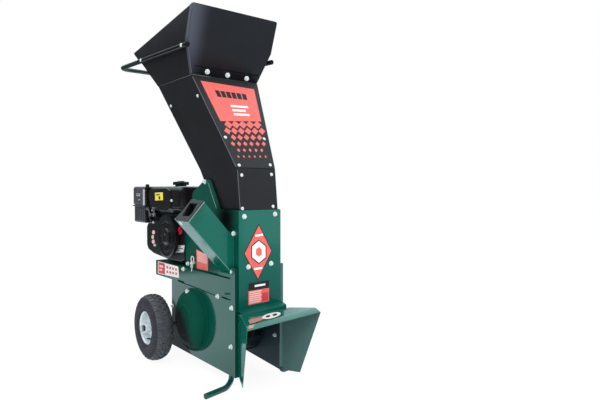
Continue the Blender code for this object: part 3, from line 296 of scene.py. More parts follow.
# Metal
finish("zinc", (0.7, 0.78, 0.77), (0.8, 0.87, 0.85), EVEN, ZINC, metallic=0.2)
finish("white_zinc", (0.84, 0.86, 0.86), (0.92, 0.93, 0.92), EVEN, ZINC, metallic=0.1, height=0.08)
finish("steel", (0.45, 0.45, 0.46), (0.55, 0.55, 0.56), (0.25, 0.42), METAL, cloud=40.0, grain=1500.0,
       height=0.2, stretch=(1.0, 0.1, 0.1))
finish("dark_steel", (0.045, 0.048, 0.052), (0.085, 0.082, 0.08), (0.42, 0.62), METAL, metallic=0.7,
       cloud=25.0, grain=700.0, height=0.35)
finish("iron", (0.055, 0.055, 0.058), (0.095, 0.09, 0.086), ROUGH, METAL, metallic=0.6, grain=500.0,
       height=0.55)
finish("aluminium", (0.34, 0.34, 0.35), (0.48, 0.48, 0.49), (0.38, 0.55), METAL, metallic=0.9,
       grain=650.0, height=0.45)

# Rubber and rope
finish("tyre", (0.03, 0.029, 0.038), (0.048, 0.046, 0.057), (0.55, 0.75), RUBBER, cloud=22.0, height=0.45,
       specular=0.12)
# Painted light: a lighter copy of the tyre's rubber for the crown, which is lit from above
finish("tread", (0.05, 0.054, 0.064), (0.095, 0.1, 0.115), (0.5, 0.7), RUBBER, cloud=60.0, height=0.5,
       specular=0.4)
finish("rubber", (0.012, 0.012, 0.013), (0.02, 0.02, 0.02), ROUGH, RUBBER, cloud=18.0, grain=1200.0,
       height=0.35)
finish("rim_rubber", (0.01, 0.0095, 0.012), (0.019, 0.018, 0.0215), ROUGH, {}, cloud=30.0, height=0.3)
finish("rope", (0.02, 0.02, 0.02), (0.06, 0.06, 0.06), (0.75, 0.9), {}, cloud=700.0, grain=1800.0, height=0.8)

# Plastic
finish("plastic", (0.007, 0.006, 0.007), (0.012, 0.01, 0.012), (0.26, 0.38), PLASTIC, height=0.3,
       specular=0.35)
finish("gloss_plastic", (0.007, 0.005, 0.006), (0.011, 0.008, 0.01), (0.14, 0.22), PLASTIC, grain=300.0,
       height=0.06, specular=0.4)
finish("grey_plastic", (0.046, 0.049, 0.058), (0.088, 0.092, 0.106), (0.3, 0.46), PLASTIC, cloud=30.0,
       height=0.35)
# Pale plastic of the louvres, also used for a painted highlight strip
finish("pale_plastic_and_highlight", (0.42, 0.44, 0.47), (0.52, 0.54, 0.57), EVEN, PLASTIC, grain=1200.0, height=0.15)
finish("red", (0.4, 0.008, 0.022), (0.5, 0.014, 0.03), (0.25, 0.35), {}, cloud=40.0, height=0.15)

# Prints
finish("silver", (0.62, 0.64, 0.72), (0.74, 0.76, 0.84), EVEN, PRINT, cloud=120.0)
finish("salmon", (0.78, 0.115, 0.098), (0.86, 0.145, 0.125), EVEN, PRINT)
finish("dusty_pink", (0.34, 0.2, 0.18), (0.48, 0.28, 0.26), EVEN, PRINT, cloud=90.0)
finish("pink", (0.86, 0.48, 0.47), (0.93, 0.62, 0.6), EVEN, PRINT, cloud=90.0)
finish("crimson", (0.62, 0.03, 0.055), (0.7, 0.04, 0.065), EVEN, PRINT)
finish("white", (0.88, 0.86, 0.86), (0.94, 0.92, 0.92), EVEN, PRINT)
finish("yellow", (0.9, 0.76, 0.08), (0.95, 0.82, 0.11), EVEN, PRINT)

# The CAD nodes that show as they are, by their finish
NODE_FINISHES = {
    "green": ["belt_guard"],
    # The screen's dark tone is painted shade
    "screen_painted_shade": ["discharge_screen"],
    "black": ["chute_body", "chute_front_upper", "chute_front_lower", "hopper_back"],
    "zinc": ["guard_hinge_rod", "latch_pin"],
    "steel": ["rotor_shaft", "hammer_rod_a", "hammer_rod_b", "hammer_a", "hammer_b", "chipper_knife_a",
              "chipper_knife_b", "wheel_axle", "crankshaft"],
    "dark_steel": ["rotor_scroll", "rotor_disc_left", "rotor_disc_right"],
    "iron": ["bearing_left", "bearing_right", "clutch_pulley", "rotor_pulley", "muffler"],
    "aluminium": ["engine_block", "carburetor", "choke_lever", "throttle_lever"],
    "plastic": ["fan_shroud", "recoil_grip"],
    "rubber": ["hopper_flap", "branch_chute_flap", "drive_belt"],
    "rope": ["recoil_rope"],
}

EDGE = 0.0006
WELD = 0.00001
MERGE = 0.000002
FLAT = math.radians(1.0)
SHARP = 35.0


def dress_nodes():
    """Gives each CAD node that shows as it is its finish and slightly rounded edges."""
    for key, names in NODE_FINISHES.items():
        for name in names:
            obj = NODES[name]
            obj.data.materials.clear()
            obj.data.materials.append(MATERIALS[key])
            obj.modifiers.new("weld", "WELD").merge_threshold = WELD
            flat = obj.modifiers.new("flat", "DECIMATE")
            flat.decimate_type = "DISSOLVE"
            flat.angle_limit = FLAT
            round_edges(obj, EDGE).harden_normals = False
            obj.modifiers.new("even", "WEIGHTED_NORMAL").keep_sharp = True
            for poly in obj.data.polygons:
                poly.use_smooth = True


# Points and directions


def at(x, y, z):
    """Working-frame point in the row frame."""
    return ORIGIN + Vector((x, y, z))


def view_ray(pixel):
    """Where the camera looks at this point of a 600 x 400 picture."""
    turn = Matrix.Rotation(math.radians(-CAMERA_YAW), 3, "Z")
    turn = turn @ Matrix.Rotation(math.radians(90 - CAMERA_DIP), 3, "X")
    across = (pixel[0] - PICTURE_WIDTH / 2) / FOCAL_PIXELS
    down = (pixel[1] - PICTURE_HEIGHT / 2) / FOCAL_PIXELS
    return CAMERA_PLACE + ORIGIN, (turn @ Vector((across, -down, -1.0))).normalized()


TREES = {}


def surface(node):
    """Faces of a CAD node or a piece, for finding the place of what sits on them."""
    if node not in TREES:
        mesh = (NODES.get(node) or bpy.data.objects[node]).data
        verts = [v.co.copy() for v in mesh.vertices]
        TREES[node] = BVHTree.FromPolygons(verts, [tuple(p.vertices) for p in mesh.polygons])
    return TREES[node]

def hit(node, start, way):
    """Place and outward direction of the face that a line from a point meets."""
    place, normal, _, _ = surface(node).ray_cast(start, way)
    if place is None:
        raise ValueError(f"no face of {node} on the line from {tuple(start)}")
    return place, -normal if normal.dot(way) > 0 else normal


def seat(node, pixel, mirror=False):
    """Place and outward direction of the face that shows at a pixel, or of its twin on the other side."""
    start, way = view_ray(pixel)
    if mirror:
        start = Vector((2 * ORIGIN.x - start.x, start.y, start.z))
        way = Vector((-way.x, way.y, way.z))
    return hit(node, start, way)


def side_seat(node, sign, y, z):
    """Place and outward direction of the face that a level line from one side meets."""
    return hit(node, at(sign, y, z), Vector((-sign, 0.0, 0.0)))


def face_plane(node, pixels):
    """Plane of the face that shows in the middle of these pixels."""
    count = len(pixels)
    return seat(node, (sum(p[0] for p in pixels) / count, sum(p[1] for p in pixels) / count))


def plane_point(place, normal, pixel):
    start, way = view_ray(pixel)
    return start + way * ((place - start).dot(normal) / way.dot(normal))


# Mesh builders


def add_piece(name, verts, faces, finish, body="machine", smooth=SHARP):
    mesh = bpy.data.meshes.new(name)
    mesh.from_pydata([tuple(v) for v in verts], [], faces)
    bm = bmesh.new()
    bm.from_mesh(mesh)
    bmesh.ops.remove_doubles(bm, verts=bm.verts, dist=MERGE)
    bmesh.ops.recalc_face_normals(bm, faces=bm.faces)
    bm.to_mesh(mesh)
    bm.free()
    obj = bpy.data.objects.new(name, mesh)
    bpy.context.scene.collection.objects.link(obj)
    mesh.materials.append(MATERIALS[finish])
    for poly in mesh.polygons:
        poly.use_smooth = True
    mesh.set_sharp_from_angle(angle=math.radians(smooth))
    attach(obj, body)
    return obj


def round_edges(obj, width, segments=2, angle=SHARP):
    """Rounds the edges that are sharper than an angle."""
    mod = obj.modifiers.new("edge", "BEVEL")
    mod.width = width
    mod.segments = segments
    mod.limit_method = "ANGLE"
    mod.angle_limit = math.radians(angle)
    mod.harden_normals = True
    return mod


def thicken(obj, thickness):
    """Gives an open sheet its thickness, half of it on each side."""
    mod = obj.modifiers.new("sheet", "SOLIDIFY")
    mod.thickness = thickness
    mod.offset = 0.0
    mod.use_even_offset = True
    return mod


def second_finish(obj, finish, test):
    """Gives some faces another finish, by their middle in the working frame and their direction."""
    mesh = obj.data
    mesh.materials.append(MATERIALS[finish])
    slot = len(mesh.materials) - 1
    for poly in mesh.polygons:
        if test(poly.center - ORIGIN, poly.normal):
            poly.material_index = slot
    return obj


def twin(name, node, finish):
    """Piece with a CAD node's own faces, for a node that shows more than one finish."""
    mesh = NODES[node].data
    verts = [v.co.copy() for v in mesh.vertices]
    obj = add_piece(name, verts, [tuple(p.vertices) for p in mesh.polygons], finish)
    flat = obj.modifiers.new("flat", "DECIMATE")
    flat.decimate_type = "DISSOLVE"
    flat.angle_limit = FLAT
    flat.delimit = {"MATERIAL"}
    round_edges(obj, EDGE)
    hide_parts(node)
    return obj


class Bag:
    """Collects the vertices and faces of several small shapes that make one piece."""

    def __init__(self):
        self.verts = []
        self.faces = []

    def add(self, verts, faces):
        start = len(self.verts)
        self.verts += [Vector(v) for v in verts]
        self.faces += [tuple(start + i for i in face) for face in faces]

    def piece(self, name, finish, body="machine", smooth=SHARP):
        return add_piece(name, self.verts, self.faces, finish, body, smooth)


def closed_faces(count):
    """Faces of a body between two outlines of this many points."""
    faces = [tuple(range(count))[::-1], tuple(range(count, 2 * count))]
    for i in range(count):
        j = (i + 1) % count
        faces.append((i, j, count + j, count + i))
    return faces


def prism(outline, start, end, frame):
    """Outline in a frame's x and y, thick along its z."""
    verts = [frame @ Vector((x, y, z)) for z in (start, end) for x, y in outline]
    return verts, closed_faces(len(outline))


def slab(corners, way, low, high):
    """Body between two copies of an outline in space, at two distances along a direction."""
    verts = [corner + way * level for level in (low, high) for corner in corners]
    return verts, closed_faces(len(corners))


def turned(profile, frame, steps, ring=False):
    """Profile of (radius, height) turned about a frame's z axis, closed by ends or to a ring."""
    count = len(profile)
    verts, faces = [], []
    for i in range(steps):
        turn = 2 * math.pi * i / steps
        c, s = math.cos(turn), math.sin(turn)
        verts += [frame @ Vector((r * c, r * s, h)) for r, h in profile]
        a, b = i * count, (i + 1) % steps * count
        for j in range(count if ring else count - 1):
            k = (j + 1) % count
            faces.append((a + j, b + j, b + k, a + k))
    if ring:
        return verts, faces
    if profile[0][0] > 0.0:
        faces.append(tuple(i * count for i in range(steps))[::-1])
    if profile[-1][0] > 0.0:
        faces.append(tuple(i * count + count - 1 for i in range(steps)))
    return verts, faces


def circle(radius, steps, start=0.0, span=360.0):
    """Points of a circle or of a part of it, from a start angle in degrees."""
    ends = steps if span == 360.0 else steps - 1
    turns = [math.radians(start + span * i / ends) for i in range(steps)]
    return [(radius * math.cos(turn), radius * math.sin(turn)) for turn in turns]


def facing(place, normal, up=(0.0, 0.0, 1.0)):
    """Matrix with its z along a normal and its y as near up as can be."""
    z = Vector(normal).normalized()
    y = Vector(up) - z * Vector(up).dot(z)
    if y.length < 0.001:
        y = Vector((0.0, 1.0, 0.0)) - z * z.y
    y.normalize()
    x = y.cross(z)
    frame = Matrix((x, y, z)).transposed().to_4x4()
    return Matrix.Translation(place) @ frame


def side_frame(x):
    """Matrix for outlines in the working frame's y and z, thick along its x."""
    return Matrix.Translation(at(x, 0, 0)) @ Matrix(((0, 0, 1, 0), (1, 0, 0, 0), (0, 1, 0, 0), (0, 0, 0, 1)))


def swept(points, radius, steps=16, closed=False):
    """Round bar along points, with even turns of its section."""
    points = [Vector(p) for p in points]
    count = len(points)
    verts, faces = [], []
    normal = None
    for i, point in enumerate(points):
        before = points[i - 1] if i or closed else point
        after = points[(i + 1) % count] if i < count - 1 or closed else point
        way = (after - before).normalized()
        if normal is None:
            pick = Vector((0, 0, 1)) if abs(way.z) < 0.9 else Vector((1, 0, 0))
            normal = way.cross(pick).normalized()
        normal = (normal - way * normal.dot(way)).normalized()
        other = way.cross(normal)
        verts += [point + normal * c + other * s for c, s in circle(radius, steps)]
    for i in range(count if closed else count - 1):
        a, b = i * steps, ((i + 1) % count) * steps
        for j in range(steps):
            k = (j + 1) % steps
            faces.append((a + j, b + j, b + k, a + k))
    if not closed:
        faces.append(tuple(range(steps))[::-1])
        faces.append(tuple(range((count - 1) * steps, count * steps)))
    return verts, faces


def filleted(points, radius, steps=6):
    """Path with its corners rounded."""
    points = [Vector(p) for p in points]
    path = [points[0]]
    for before, corner, after in zip(points, points[1:], points[2:]):
        a, b = before - corner, after - corner
        half = a.angle(b) / 2
        reach = min(radius / math.tan(half), a.length * 0.49, b.length * 0.49)
        first, last = corner + a.normalized() * reach, corner + b.normalized() * reach
        for i in range(steps + 1):
            t = i / steps
            path.append(first * (1 - t) ** 2 + corner * 2 * t * (1 - t) + last * t * t)
    path.append(points[-1])
    return path


def bevel_edges(bm, edges, radius, segments):
    """Rounds these edges of a mesh."""
    shape = {"offset": radius, "segments": segments, "profile": 0.5, "affect": "EDGES", "clamp_overlap": True}
    bmesh.ops.bevel(bm, geom=edges, **shape)


def rounded_box(low, high, radius, segments=4):
    """Box with all its edges rounded, in the working frame."""
    bm = bmesh.new()
    bmesh.ops.create_cube(bm, size=1.0)
    low, high = Vector(low), Vector(high)
    middle, size = (low + high) / 2, high - low
    for vert in bm.verts:
        vert.co = at(*(middle + Vector(a * b for a, b in zip(vert.co, size))))
    bevel_edges(bm, bm.edges[:], radius, segments)
    bm.verts.index_update()
    verts = [v.co.copy() for v in bm.verts]
    faces = [tuple(v.index for v in f.verts) for f in bm.faces]
    bm.free()
    return verts, faces


def many(name, shapes, finish, body="machine", smooth=SHARP):
    """One piece made of several small shapes."""
    bag = Bag()
    for shape in shapes:
        bag.add(*shape)
    return bag.piece(name, finish, body, smooth)


# Fasteners

BOLT_TURN = 0.3
BOLT_TURN_STEP = 0.7
SCREW_TURN = 0.6


def flange_bolt(bag, place, normal, size=0.0085, turn=BOLT_TURN):
    """Hex head with a round flange under it. Size is the flange's radius."""
    frame = facing(place, normal) @ Matrix.Rotation(turn, 4, "Z")
    flange = [(size, -0.0004), (size, 0.0009), (size * 0.93, 0.0017), (size * 0.72, 0.0024), (0.0, 0.0024)]
    bag.add(*turned(flange, frame, 20))
    reach = size * 0.7
    height = size * 0.62 + 0.0022
    head = [(reach, 0.002), (reach, height - 0.0012), (reach * 0.9, height), (0.0, height - 0.0005)]
    bag.add(*turned(head, frame, 6))


def pan_screw(bag, place, normal, size=0.0055):
    """Low round head with a cross recess."""
    frame = facing(place, normal) @ Matrix.Rotation(SCREW_TURN, 4, "Z")
    dome = [(size, -0.0004), (size, 0.0008), (size * 0.86, 0.0021), (size * 0.55, 0.003)]
    recess = [(size * 0.42, 0.0031), (size * 0.3, 0.0016), (0.0, 0.0014)]
    bag.add(*turned(dome + recess, frame, 16))


def group_bolts(name, kind, size, rows):
    """One piece with a fastener at each pixel, and at its twin on the other side where one is named."""
    bag = Bag()
    count = 0
    for node, other, pixels in rows:
        for pixel in pixels:
            turn = [BOLT_TURN + count * BOLT_TURN_STEP] if kind is flange_bolt else []
            kind(bag, *seat(node, pixel), size, *turn)
            if other:
                kind(bag, *seat(other, pixel, True), size)
            count += 1
    bag.piece(name, "zinc")


# Wheels

WHEEL_LOW, WHEEL_HIGH = own_box("wheel_tyre_left")
WHEEL_Y = (WHEEL_LOW.y + WHEEL_HIGH.y) / 2
WHEEL_Z = (WHEEL_LOW.z + WHEEL_HIGH.z) / 2
WHEEL_R = (WHEEL_HIGH.z - WHEEL_LOW.z) / 2
WHEEL_X = -(WHEEL_LOW.x + WHEEL_HIGH.x) / 2

CARCASS = [
    (0.0658, 0.029), (0.069, 0.0318), (0.073, 0.0325), (0.0745, 0.0338), (0.086, 0.0349),
    (0.098, 0.0346), (0.108, 0.0322), (0.116, 0.0272), (0.1215, 0.02), (0.1245, 0.011),
    (0.1255, 0.0),
]
CROWN = [row for row in CARCASS if row[0] > 0.09]
TYRE_INSIDE = [(0.0658, 0.022), (0.1, 0.029), (0.118, 0.015)]
TYRE_WIDER = 1.13

# Blocks of the tread: corners by their share of a step and their height, rise, and share of the top
TREAD = [
    ([(0.02, 0.0015), (0.44, 0.0045), (0.6, 0.0125), (0.18, 0.0105)], 0.0045, 0.9),
    ([(0.5, 0.0145), (1.08, 0.015), (1.02, 0.0262), (0.56, 0.0255)], 0.0042, 0.9),
    ([(0.0, 0.0175), (0.38, 0.018), (0.34, 0.0295), (0.04, 0.029)], 0.0032, 0.86),
]
TREAD_COUNT = 30
TREAD_ROOT = 0.0015
TREAD_FROM = 0.115


def carcass_radius(h):
    """Radius of the tyre's casing at a distance from its middle plane, on the crown side."""
    h = abs(h)
    for (r0, h0), (r1, h1) in zip(CROWN, CROWN[1:]):
        if h1 <= h <= h0:
            return r0 + (r1 - r0) * (h - h0) / (h1 - h0)
    return CARCASS[-1][0]


def wheel_frame(sign):
    return facing(at(sign * WHEEL_X, WHEEL_Y, WHEEL_Z), (sign, 0.0, 0.0))


def tread_block(frame, corners, rise, top):
    """Block on the crown. Corners are (turn, height) pairs, in order."""
    middle_t = sum(c[0] for c in corners) / len(corners)
    middle_h = sum(c[1] for c in corners) / len(corners)
    verts = []
    for level, share in ((-TREAD_ROOT, 1.0), (rise, top)):
        for turn, h in corners:
            turn = middle_t + (turn - middle_t) * share
            h = middle_h + (h - middle_h) * share
            r = min(carcass_radius(h) + level, WHEEL_R)
            verts.append(frame @ Vector((r * math.cos(turn), r * math.sin(turn), h)))
    return verts, closed_faces(len(corners))


def tyre(side, sign):
    """Casing with three kinds of tread block on both sides of its middle plane."""
    frame = wheel_frame(sign) @ Matrix.Diagonal((1.0, 1.0, TYRE_WIDER, 1.0))
    outside = CARCASS + [(r, -h) for r, h in CARCASS[-2::-1]]
    inside = [(r, -h) for r, h in TYRE_INSIDE] + TYRE_INSIDE[::-1]
    shapes = [turned(outside + inside, frame, 72, ring=True)]
    step = 2 * math.pi / TREAD_COUNT
    for i in range(TREAD_COUNT):
        for flip, start in ((1, i * step), (-1, (i + 0.5) * step)):
            for corners, rise, top in TREAD:
                block = [(start + share * step, flip * h) for share, h in corners]
                shapes.append(tread_block(frame, block[::flip], rise, top))
    obj = many("tyre_" + side, shapes, "tyre", "wheel_" + side, 30.0)
    middle = Vector((WHEEL_Y, WHEEL_Z))
    # Painted light on the crown
    second_finish(obj, "tread", lambda place, way: (place.yz - middle).length > TREAD_FROM)
    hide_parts("wheel_tyre_" + side)


DISH = [
    (0.016, 0.037), (0.0175, 0.0355), (0.019, 0.015), (0.026, 0.0128), (0.033, 0.0135),
    (0.04, 0.0118), (0.047, 0.0098), (0.052, 0.0075), (0.056, 0.0095), (0.0575, 0.018),
    (0.0582, 0.027), (0.06, 0.03), (0.063, 0.0312), (0.0655, 0.0302), (0.0655, 0.023),
]
DISH_BACK = [(0.0655, -0.0302), (0.059, -0.03), (0.057, -0.01), (0.048, 0.002), (0.016, 0.005)]
HUB_TUBE = [(0.0105, 0.0372), (0.016, 0.0372), (0.016, -0.038), (0.0105, -0.038)]
POCKETS = 5
POCKET_DEPTH = 0.0065
POCKET_GAP = 0.35
POCKET_MIDDLE = 0.037
POCKET_HALF = 0.012


def rim(side, sign):
    """Pressed disc with round pockets, a rolled lip, a hub tube and a tyre valve."""
    frame = wheel_frame(sign)
    steps = 80
    profile = DISH + DISH_BACK
    disc = turned(profile, frame, steps, ring=True)
    for i in range(steps):
        wave = abs(math.sin(POCKETS * math.pi * i / steps)) - POCKET_GAP
        for j, (r, _) in enumerate(DISH):
            along = 1.0 - ((r - POCKET_MIDDLE) / POCKET_HALF) ** 2
            disc[0][i * len(profile) + j].x -= sign * POCKET_DEPTH * max(0.0, along) * max(0.0, wave)
    obj = many("rim_" + side, [disc, turned(HUB_TUBE, frame, 32, ring=True)], "rim", "wheel_" + side, 40.0)

    def pocket_painted_shade(place, way):
        away = frame.inverted() @ (place + ORIGIN)
        r = math.hypot(away.x, away.y)
        return 0.022 < r < 0.056 and 0.0 < away.z < 0.0098 + 0.08 * abs(r - 0.039)

    # Painted shade in the pressed pockets
    second_finish(obj, "pocket_painted_shade", pocket_painted_shade)
    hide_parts("wheel_rim_" + side)
    foot = frame @ Vector((0.0, -0.049, 0.008))
    tip = frame @ Vector((0.0, -0.043, 0.026))
    stem = swept([foot, foot.lerp(tip, 0.5), tip], 0.0032, 12)
    add_piece("valve_" + side, *stem, "rubber", "wheel_" + side)


def axle_ends():
    """Washer, nut and end of the bar on both sides."""
    washer = [(0.0125, 0.0376), (0.0125, 0.0392), (0.0118, 0.0396), (0.0, 0.0396)]
    nut = [(0.0098, 0.0393), (0.0098, 0.045), (0.0088, 0.0462), (0.0, 0.0462)]
    end = [(0.0062, 0.0455), (0.0062, 0.0482), (0.0052, 0.0492), (0.0, 0.0492)]
    rows = ((washer, 28), (nut, 6), (end, 20))
    shapes = [turned(profile, wheel_frame(sign), steps) for sign in (-1, 1) for profile, steps in rows]
    many("axle_ends", shapes, "dark_steel")


# Engine covers


def rounded_rectangle(low, high, radius, steps):
    points = []
    corners = (
        (high[0] - radius, high[1] - radius),
        (low[0] + radius, high[1] - radius),
        (low[0] + radius, low[1] + radius),
        (high[0] - radius, low[1] + radius),
    )
    for i, (x, y) in enumerate(corners):
        points += [(x + c, y + s) for c, s in circle(radius, steps + 1, 90.0 * i, 90.0)]
    return points


TANK_LOW, TANK_HIGH = own_box("fuel_tank")
TANK_ROUND = 0.026
SEAM_HEIGHT = 0.014
SEAM_HALF = 0.0012
CAP_LOW, CAP_HIGH = own_box("fuel_cap")
CAP_X = (CAP_LOW.x + CAP_HIGH.x) / 2
CAP_Y = (CAP_LOW.y + CAP_HIGH.y) / 2
FLUTE_DEPTH = 0.0022


def tank():
    """Pressed tank: rounded body, seam flange low on it and a filler neck."""
    top = CAP_LOW.z - 0.005
    seam = TANK_LOW.z + SEAM_HEIGHT
    low = (TANK_LOW.x - 0.0006, TANK_LOW.y - 0.004)
    high = (TANK_HIGH.x + 0.004, TANK_HIGH.y + 0.004)
    outline = rounded_rectangle(low, high, TANK_ROUND, 6)
    profile = [(0.0285, top - 0.006), (0.0262, top - 0.001), (0.0236, top + 0.0015)]
    profile += [(0.0236, top + 0.009), (0.0, top + 0.009)]
    shapes = [
        rounded_box(TANK_LOW, (TANK_HIGH.x, TANK_HIGH.y, top), TANK_ROUND, 6),
        prism(outline, seam - SEAM_HALF, seam + SEAM_HALF, Matrix.Translation(ORIGIN)),
        turned(profile, facing(at(CAP_X, CAP_Y, 0), (0, 0, 1)), 40),
    ]
    obj = many("tank", shapes, "gloss_plastic", smooth=30.0)
    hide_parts("fuel_tank")


def cap():
    """Filler cap with a fluted rim and a raised grip on top."""
    frame = facing(at(CAP_X, CAP_Y, 0), (0, 0, 1))
    low, high = CAP_LOW.z, CAP_HIGH.z
    rim_r = (CAP_HIGH.x - CAP_LOW.x) / 2
    profile = [
        (rim_r - 0.01, low + 0.0045), (rim_r - 0.003, low + 0.0005), (rim_r - 0.0006, low + 0.0015),
        (rim_r, low + 0.0035), (rim_r, high - 0.007), (rim_r - 0.0012, high - 0.0048),
        (rim_r - 0.005, high - 0.0036), (0.015, high - 0.003), (0.0, high - 0.003),
    ]
    verts, faces = turned(profile, frame, 72)
    centre = frame.translation
    for i, vert in enumerate(verts):
        step, row = divmod(i, len(profile))
        if step % 6 < 2 and 1 <= row <= 5:
            flat = Vector((vert.x - centre.x, vert.y - centre.y, 0.0))
            verts[i] = vert - flat.normalized() * FLUTE_DEPTH
    low_grip = (CAP_X - 0.0055, CAP_Y - 0.022, high - 0.004)
    high_grip = (CAP_X + 0.0055, CAP_Y + 0.022, high - 0.0002)
    obj = many("filler_cap", [(verts, faces), rounded_box(low_grip, high_grip, 0.0016, 3)], "plastic", "cap")
    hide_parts("fuel_cap")


RECOIL_LOW, RECOIL_HIGH = own_box("recoil_cover")
RECOIL_Y = (RECOIL_LOW.y + RECOIL_HIGH.y) / 2
RECOIL_Z = (RECOIL_LOW.z + RECOIL_HIGH.z) / 2
RECOIL_RIBS = 10
RECOIL_FACE = 0.0262


def recoil():
    """Starter cover: stepped rim, raised polygon rib, sunk face with short ribs, and a hub."""
    frame = facing(at(RECOIL_HIGH.x, RECOIL_Y, RECOIL_Z), (-1, 0, 0))
    rim_r = (RECOIL_HIGH.z - RECOIL_LOW.z) / 2
    depth = RECOIL_HIGH.x - RECOIL_LOW.x
    profile = [
        (rim_r * 0.84, 0.0), (rim_r * 0.84, 0.012), (rim_r * 0.9, 0.018), (rim_r * 1.04, 0.0205),
        (rim_r * 1.04, 0.0255), (rim_r - 0.008, 0.028), (rim_r - 0.016, 0.0262), (0.052, 0.025),
        (0.035, 0.0262), (0.031, depth - 0.0012), (0.029, depth), (0.01, depth),
        (0.007, depth - 0.0015), (0.003, depth - 0.0015),
    ]
    shapes = [turned(profile, frame, 72)]

    def face_points(radius, start):
        turns = [start + 360.0 / RECOIL_RIBS * i for i in range(RECOIL_RIBS)]
        return [frame @ Vector((*circle(radius, 1, turn)[0], RECOIL_FACE)) for turn in turns]

    shapes.append(swept(face_points(0.064, 18.0), 0.0016, 8, closed=True))
    shapes += [swept(ends, 0.0014, 8) for ends in zip(face_points(0.038, 0.0), face_points(0.06, 0.0))]
    obj = many("starter_cover", shapes, "gloss_plastic", smooth=32.0)
    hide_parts("recoil_cover")


def pad(name, node, outline, height, finish, edge):
    """Raised panel on a CAD face, with its corners at these pixels and its edge rounded."""
    place, normal = face_plane(node, outline)
    base = [plane_point(place, normal, pixel) for pixel in outline]
    obj = add_piece(name, *slab(base, normal, -0.001, height), finish)
    round_edges(obj, edge, 4)
    return obj


SWITCH_TILT = math.radians(28)
SWITCH_WIDER = 1.25


def switch():
    """Stop switch: slanted rocker in two halves."""
    low, high = own_box("engine_switch")
    frame = facing(at(*(low + high) / 2), (-1, 0, 0)) @ Matrix.Rotation(SWITCH_TILT, 4, "Z")
    half = (high.x - low.x) / 2
    tall, wide = (high.z - low.z) / 2, (high.y - low.y) / 2 * SWITCH_WIDER
    upper = [(-wide, 0.001), (wide * 0.2, 0.001), (wide, tall), (-wide * 0.4, tall)]
    lower = [(-wide, -tall), (wide * 0.9, -tall), (wide, -0.001), (-wide, -0.001)]
    shapes = [prism(upper, -half, half, frame), prism(lower, -half, half - 0.0015, frame)]
    obj = many("rocker", shapes, "red", "switch")
    round_edges(obj, 0.001)
    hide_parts("engine_switch")


TANK_PANEL = [
    (151.0, 189.0), (167.0, 188.2), (170.6, 190.5), (171.6, 200.0), (171.0, 208.5), (167.5, 211.4),
    (158.0, 210.2), (152.0, 207.0), (149.8, 200.0), (149.6, 192.5),
]
TANK_BOLT = (0.465, 0.631)
SHROUD_BOLTS = ((0.69, 0.43), (0.705, 0.53), (0.418, 0.545))
SHROUD_MARKS = [(153.6, 232.3, 1.9), (152.7, 237.0, 1.7), (153.3, 241.6, 1.9)]
LINKAGE = (
    [(-0.112, 0.664, 0.579), (-0.12, 0.662, 0.583), (-0.12, 0.656, 0.588), (-0.112, 0.655, 0.581)],
    [(-0.112, 0.668, 0.57), (-0.119, 0.66, 0.569), (-0.119, 0.64, 0.569), (-0.112, 0.632, 0.572)],
)
HOSE = [(-0.08, 0.712, 0.59), (-0.112, 0.704, 0.584), (-0.119, 0.69, 0.56), (-0.108, 0.686, 0.534)]


def bent(route, corner, radius, steps):
    """Round bar along working-frame points, with rounded corners."""
    return swept(filleted([at(*p) for p in route], corner), radius, steps)


def engine_trim():
    """Panel, bolts, linkage and small marks on the engine's left side."""
    panel = pad("tank_panel", "fuel_tank", TANK_PANEL, 0.0042, "gloss_plastic", 0.0036)
    bolts = Bag()
    flange_bolt(bolts, *side_seat("fuel_tank", -1, *TANK_BOLT), 0.006, 0.4)
    for y, z in SHROUD_BOLTS:
        flange_bolt(bolts, *side_seat("fan_shroud", -1, y, z), 0.006, 0.9 + z)
    bolts.piece("engine_bolts", "zinc")
    marks = [[(u + 0.75 * c, v + 1.15 * s) for c, s in circle(r, 12)] for u, v, r in SHROUD_MARKS]
    prints("shroud_marks", "fan_shroud", marks, "pink")
    many("engine_linkage", [bent(arc, 0.006, 0.0017, 10) for arc in LINKAGE], "steel")
    add_piece("breather_hose", *bent(HOSE, 0.012, 0.0038, 14), "rubber")


AIR_LOW, AIR_HIGH = own_box("air_cleaner")


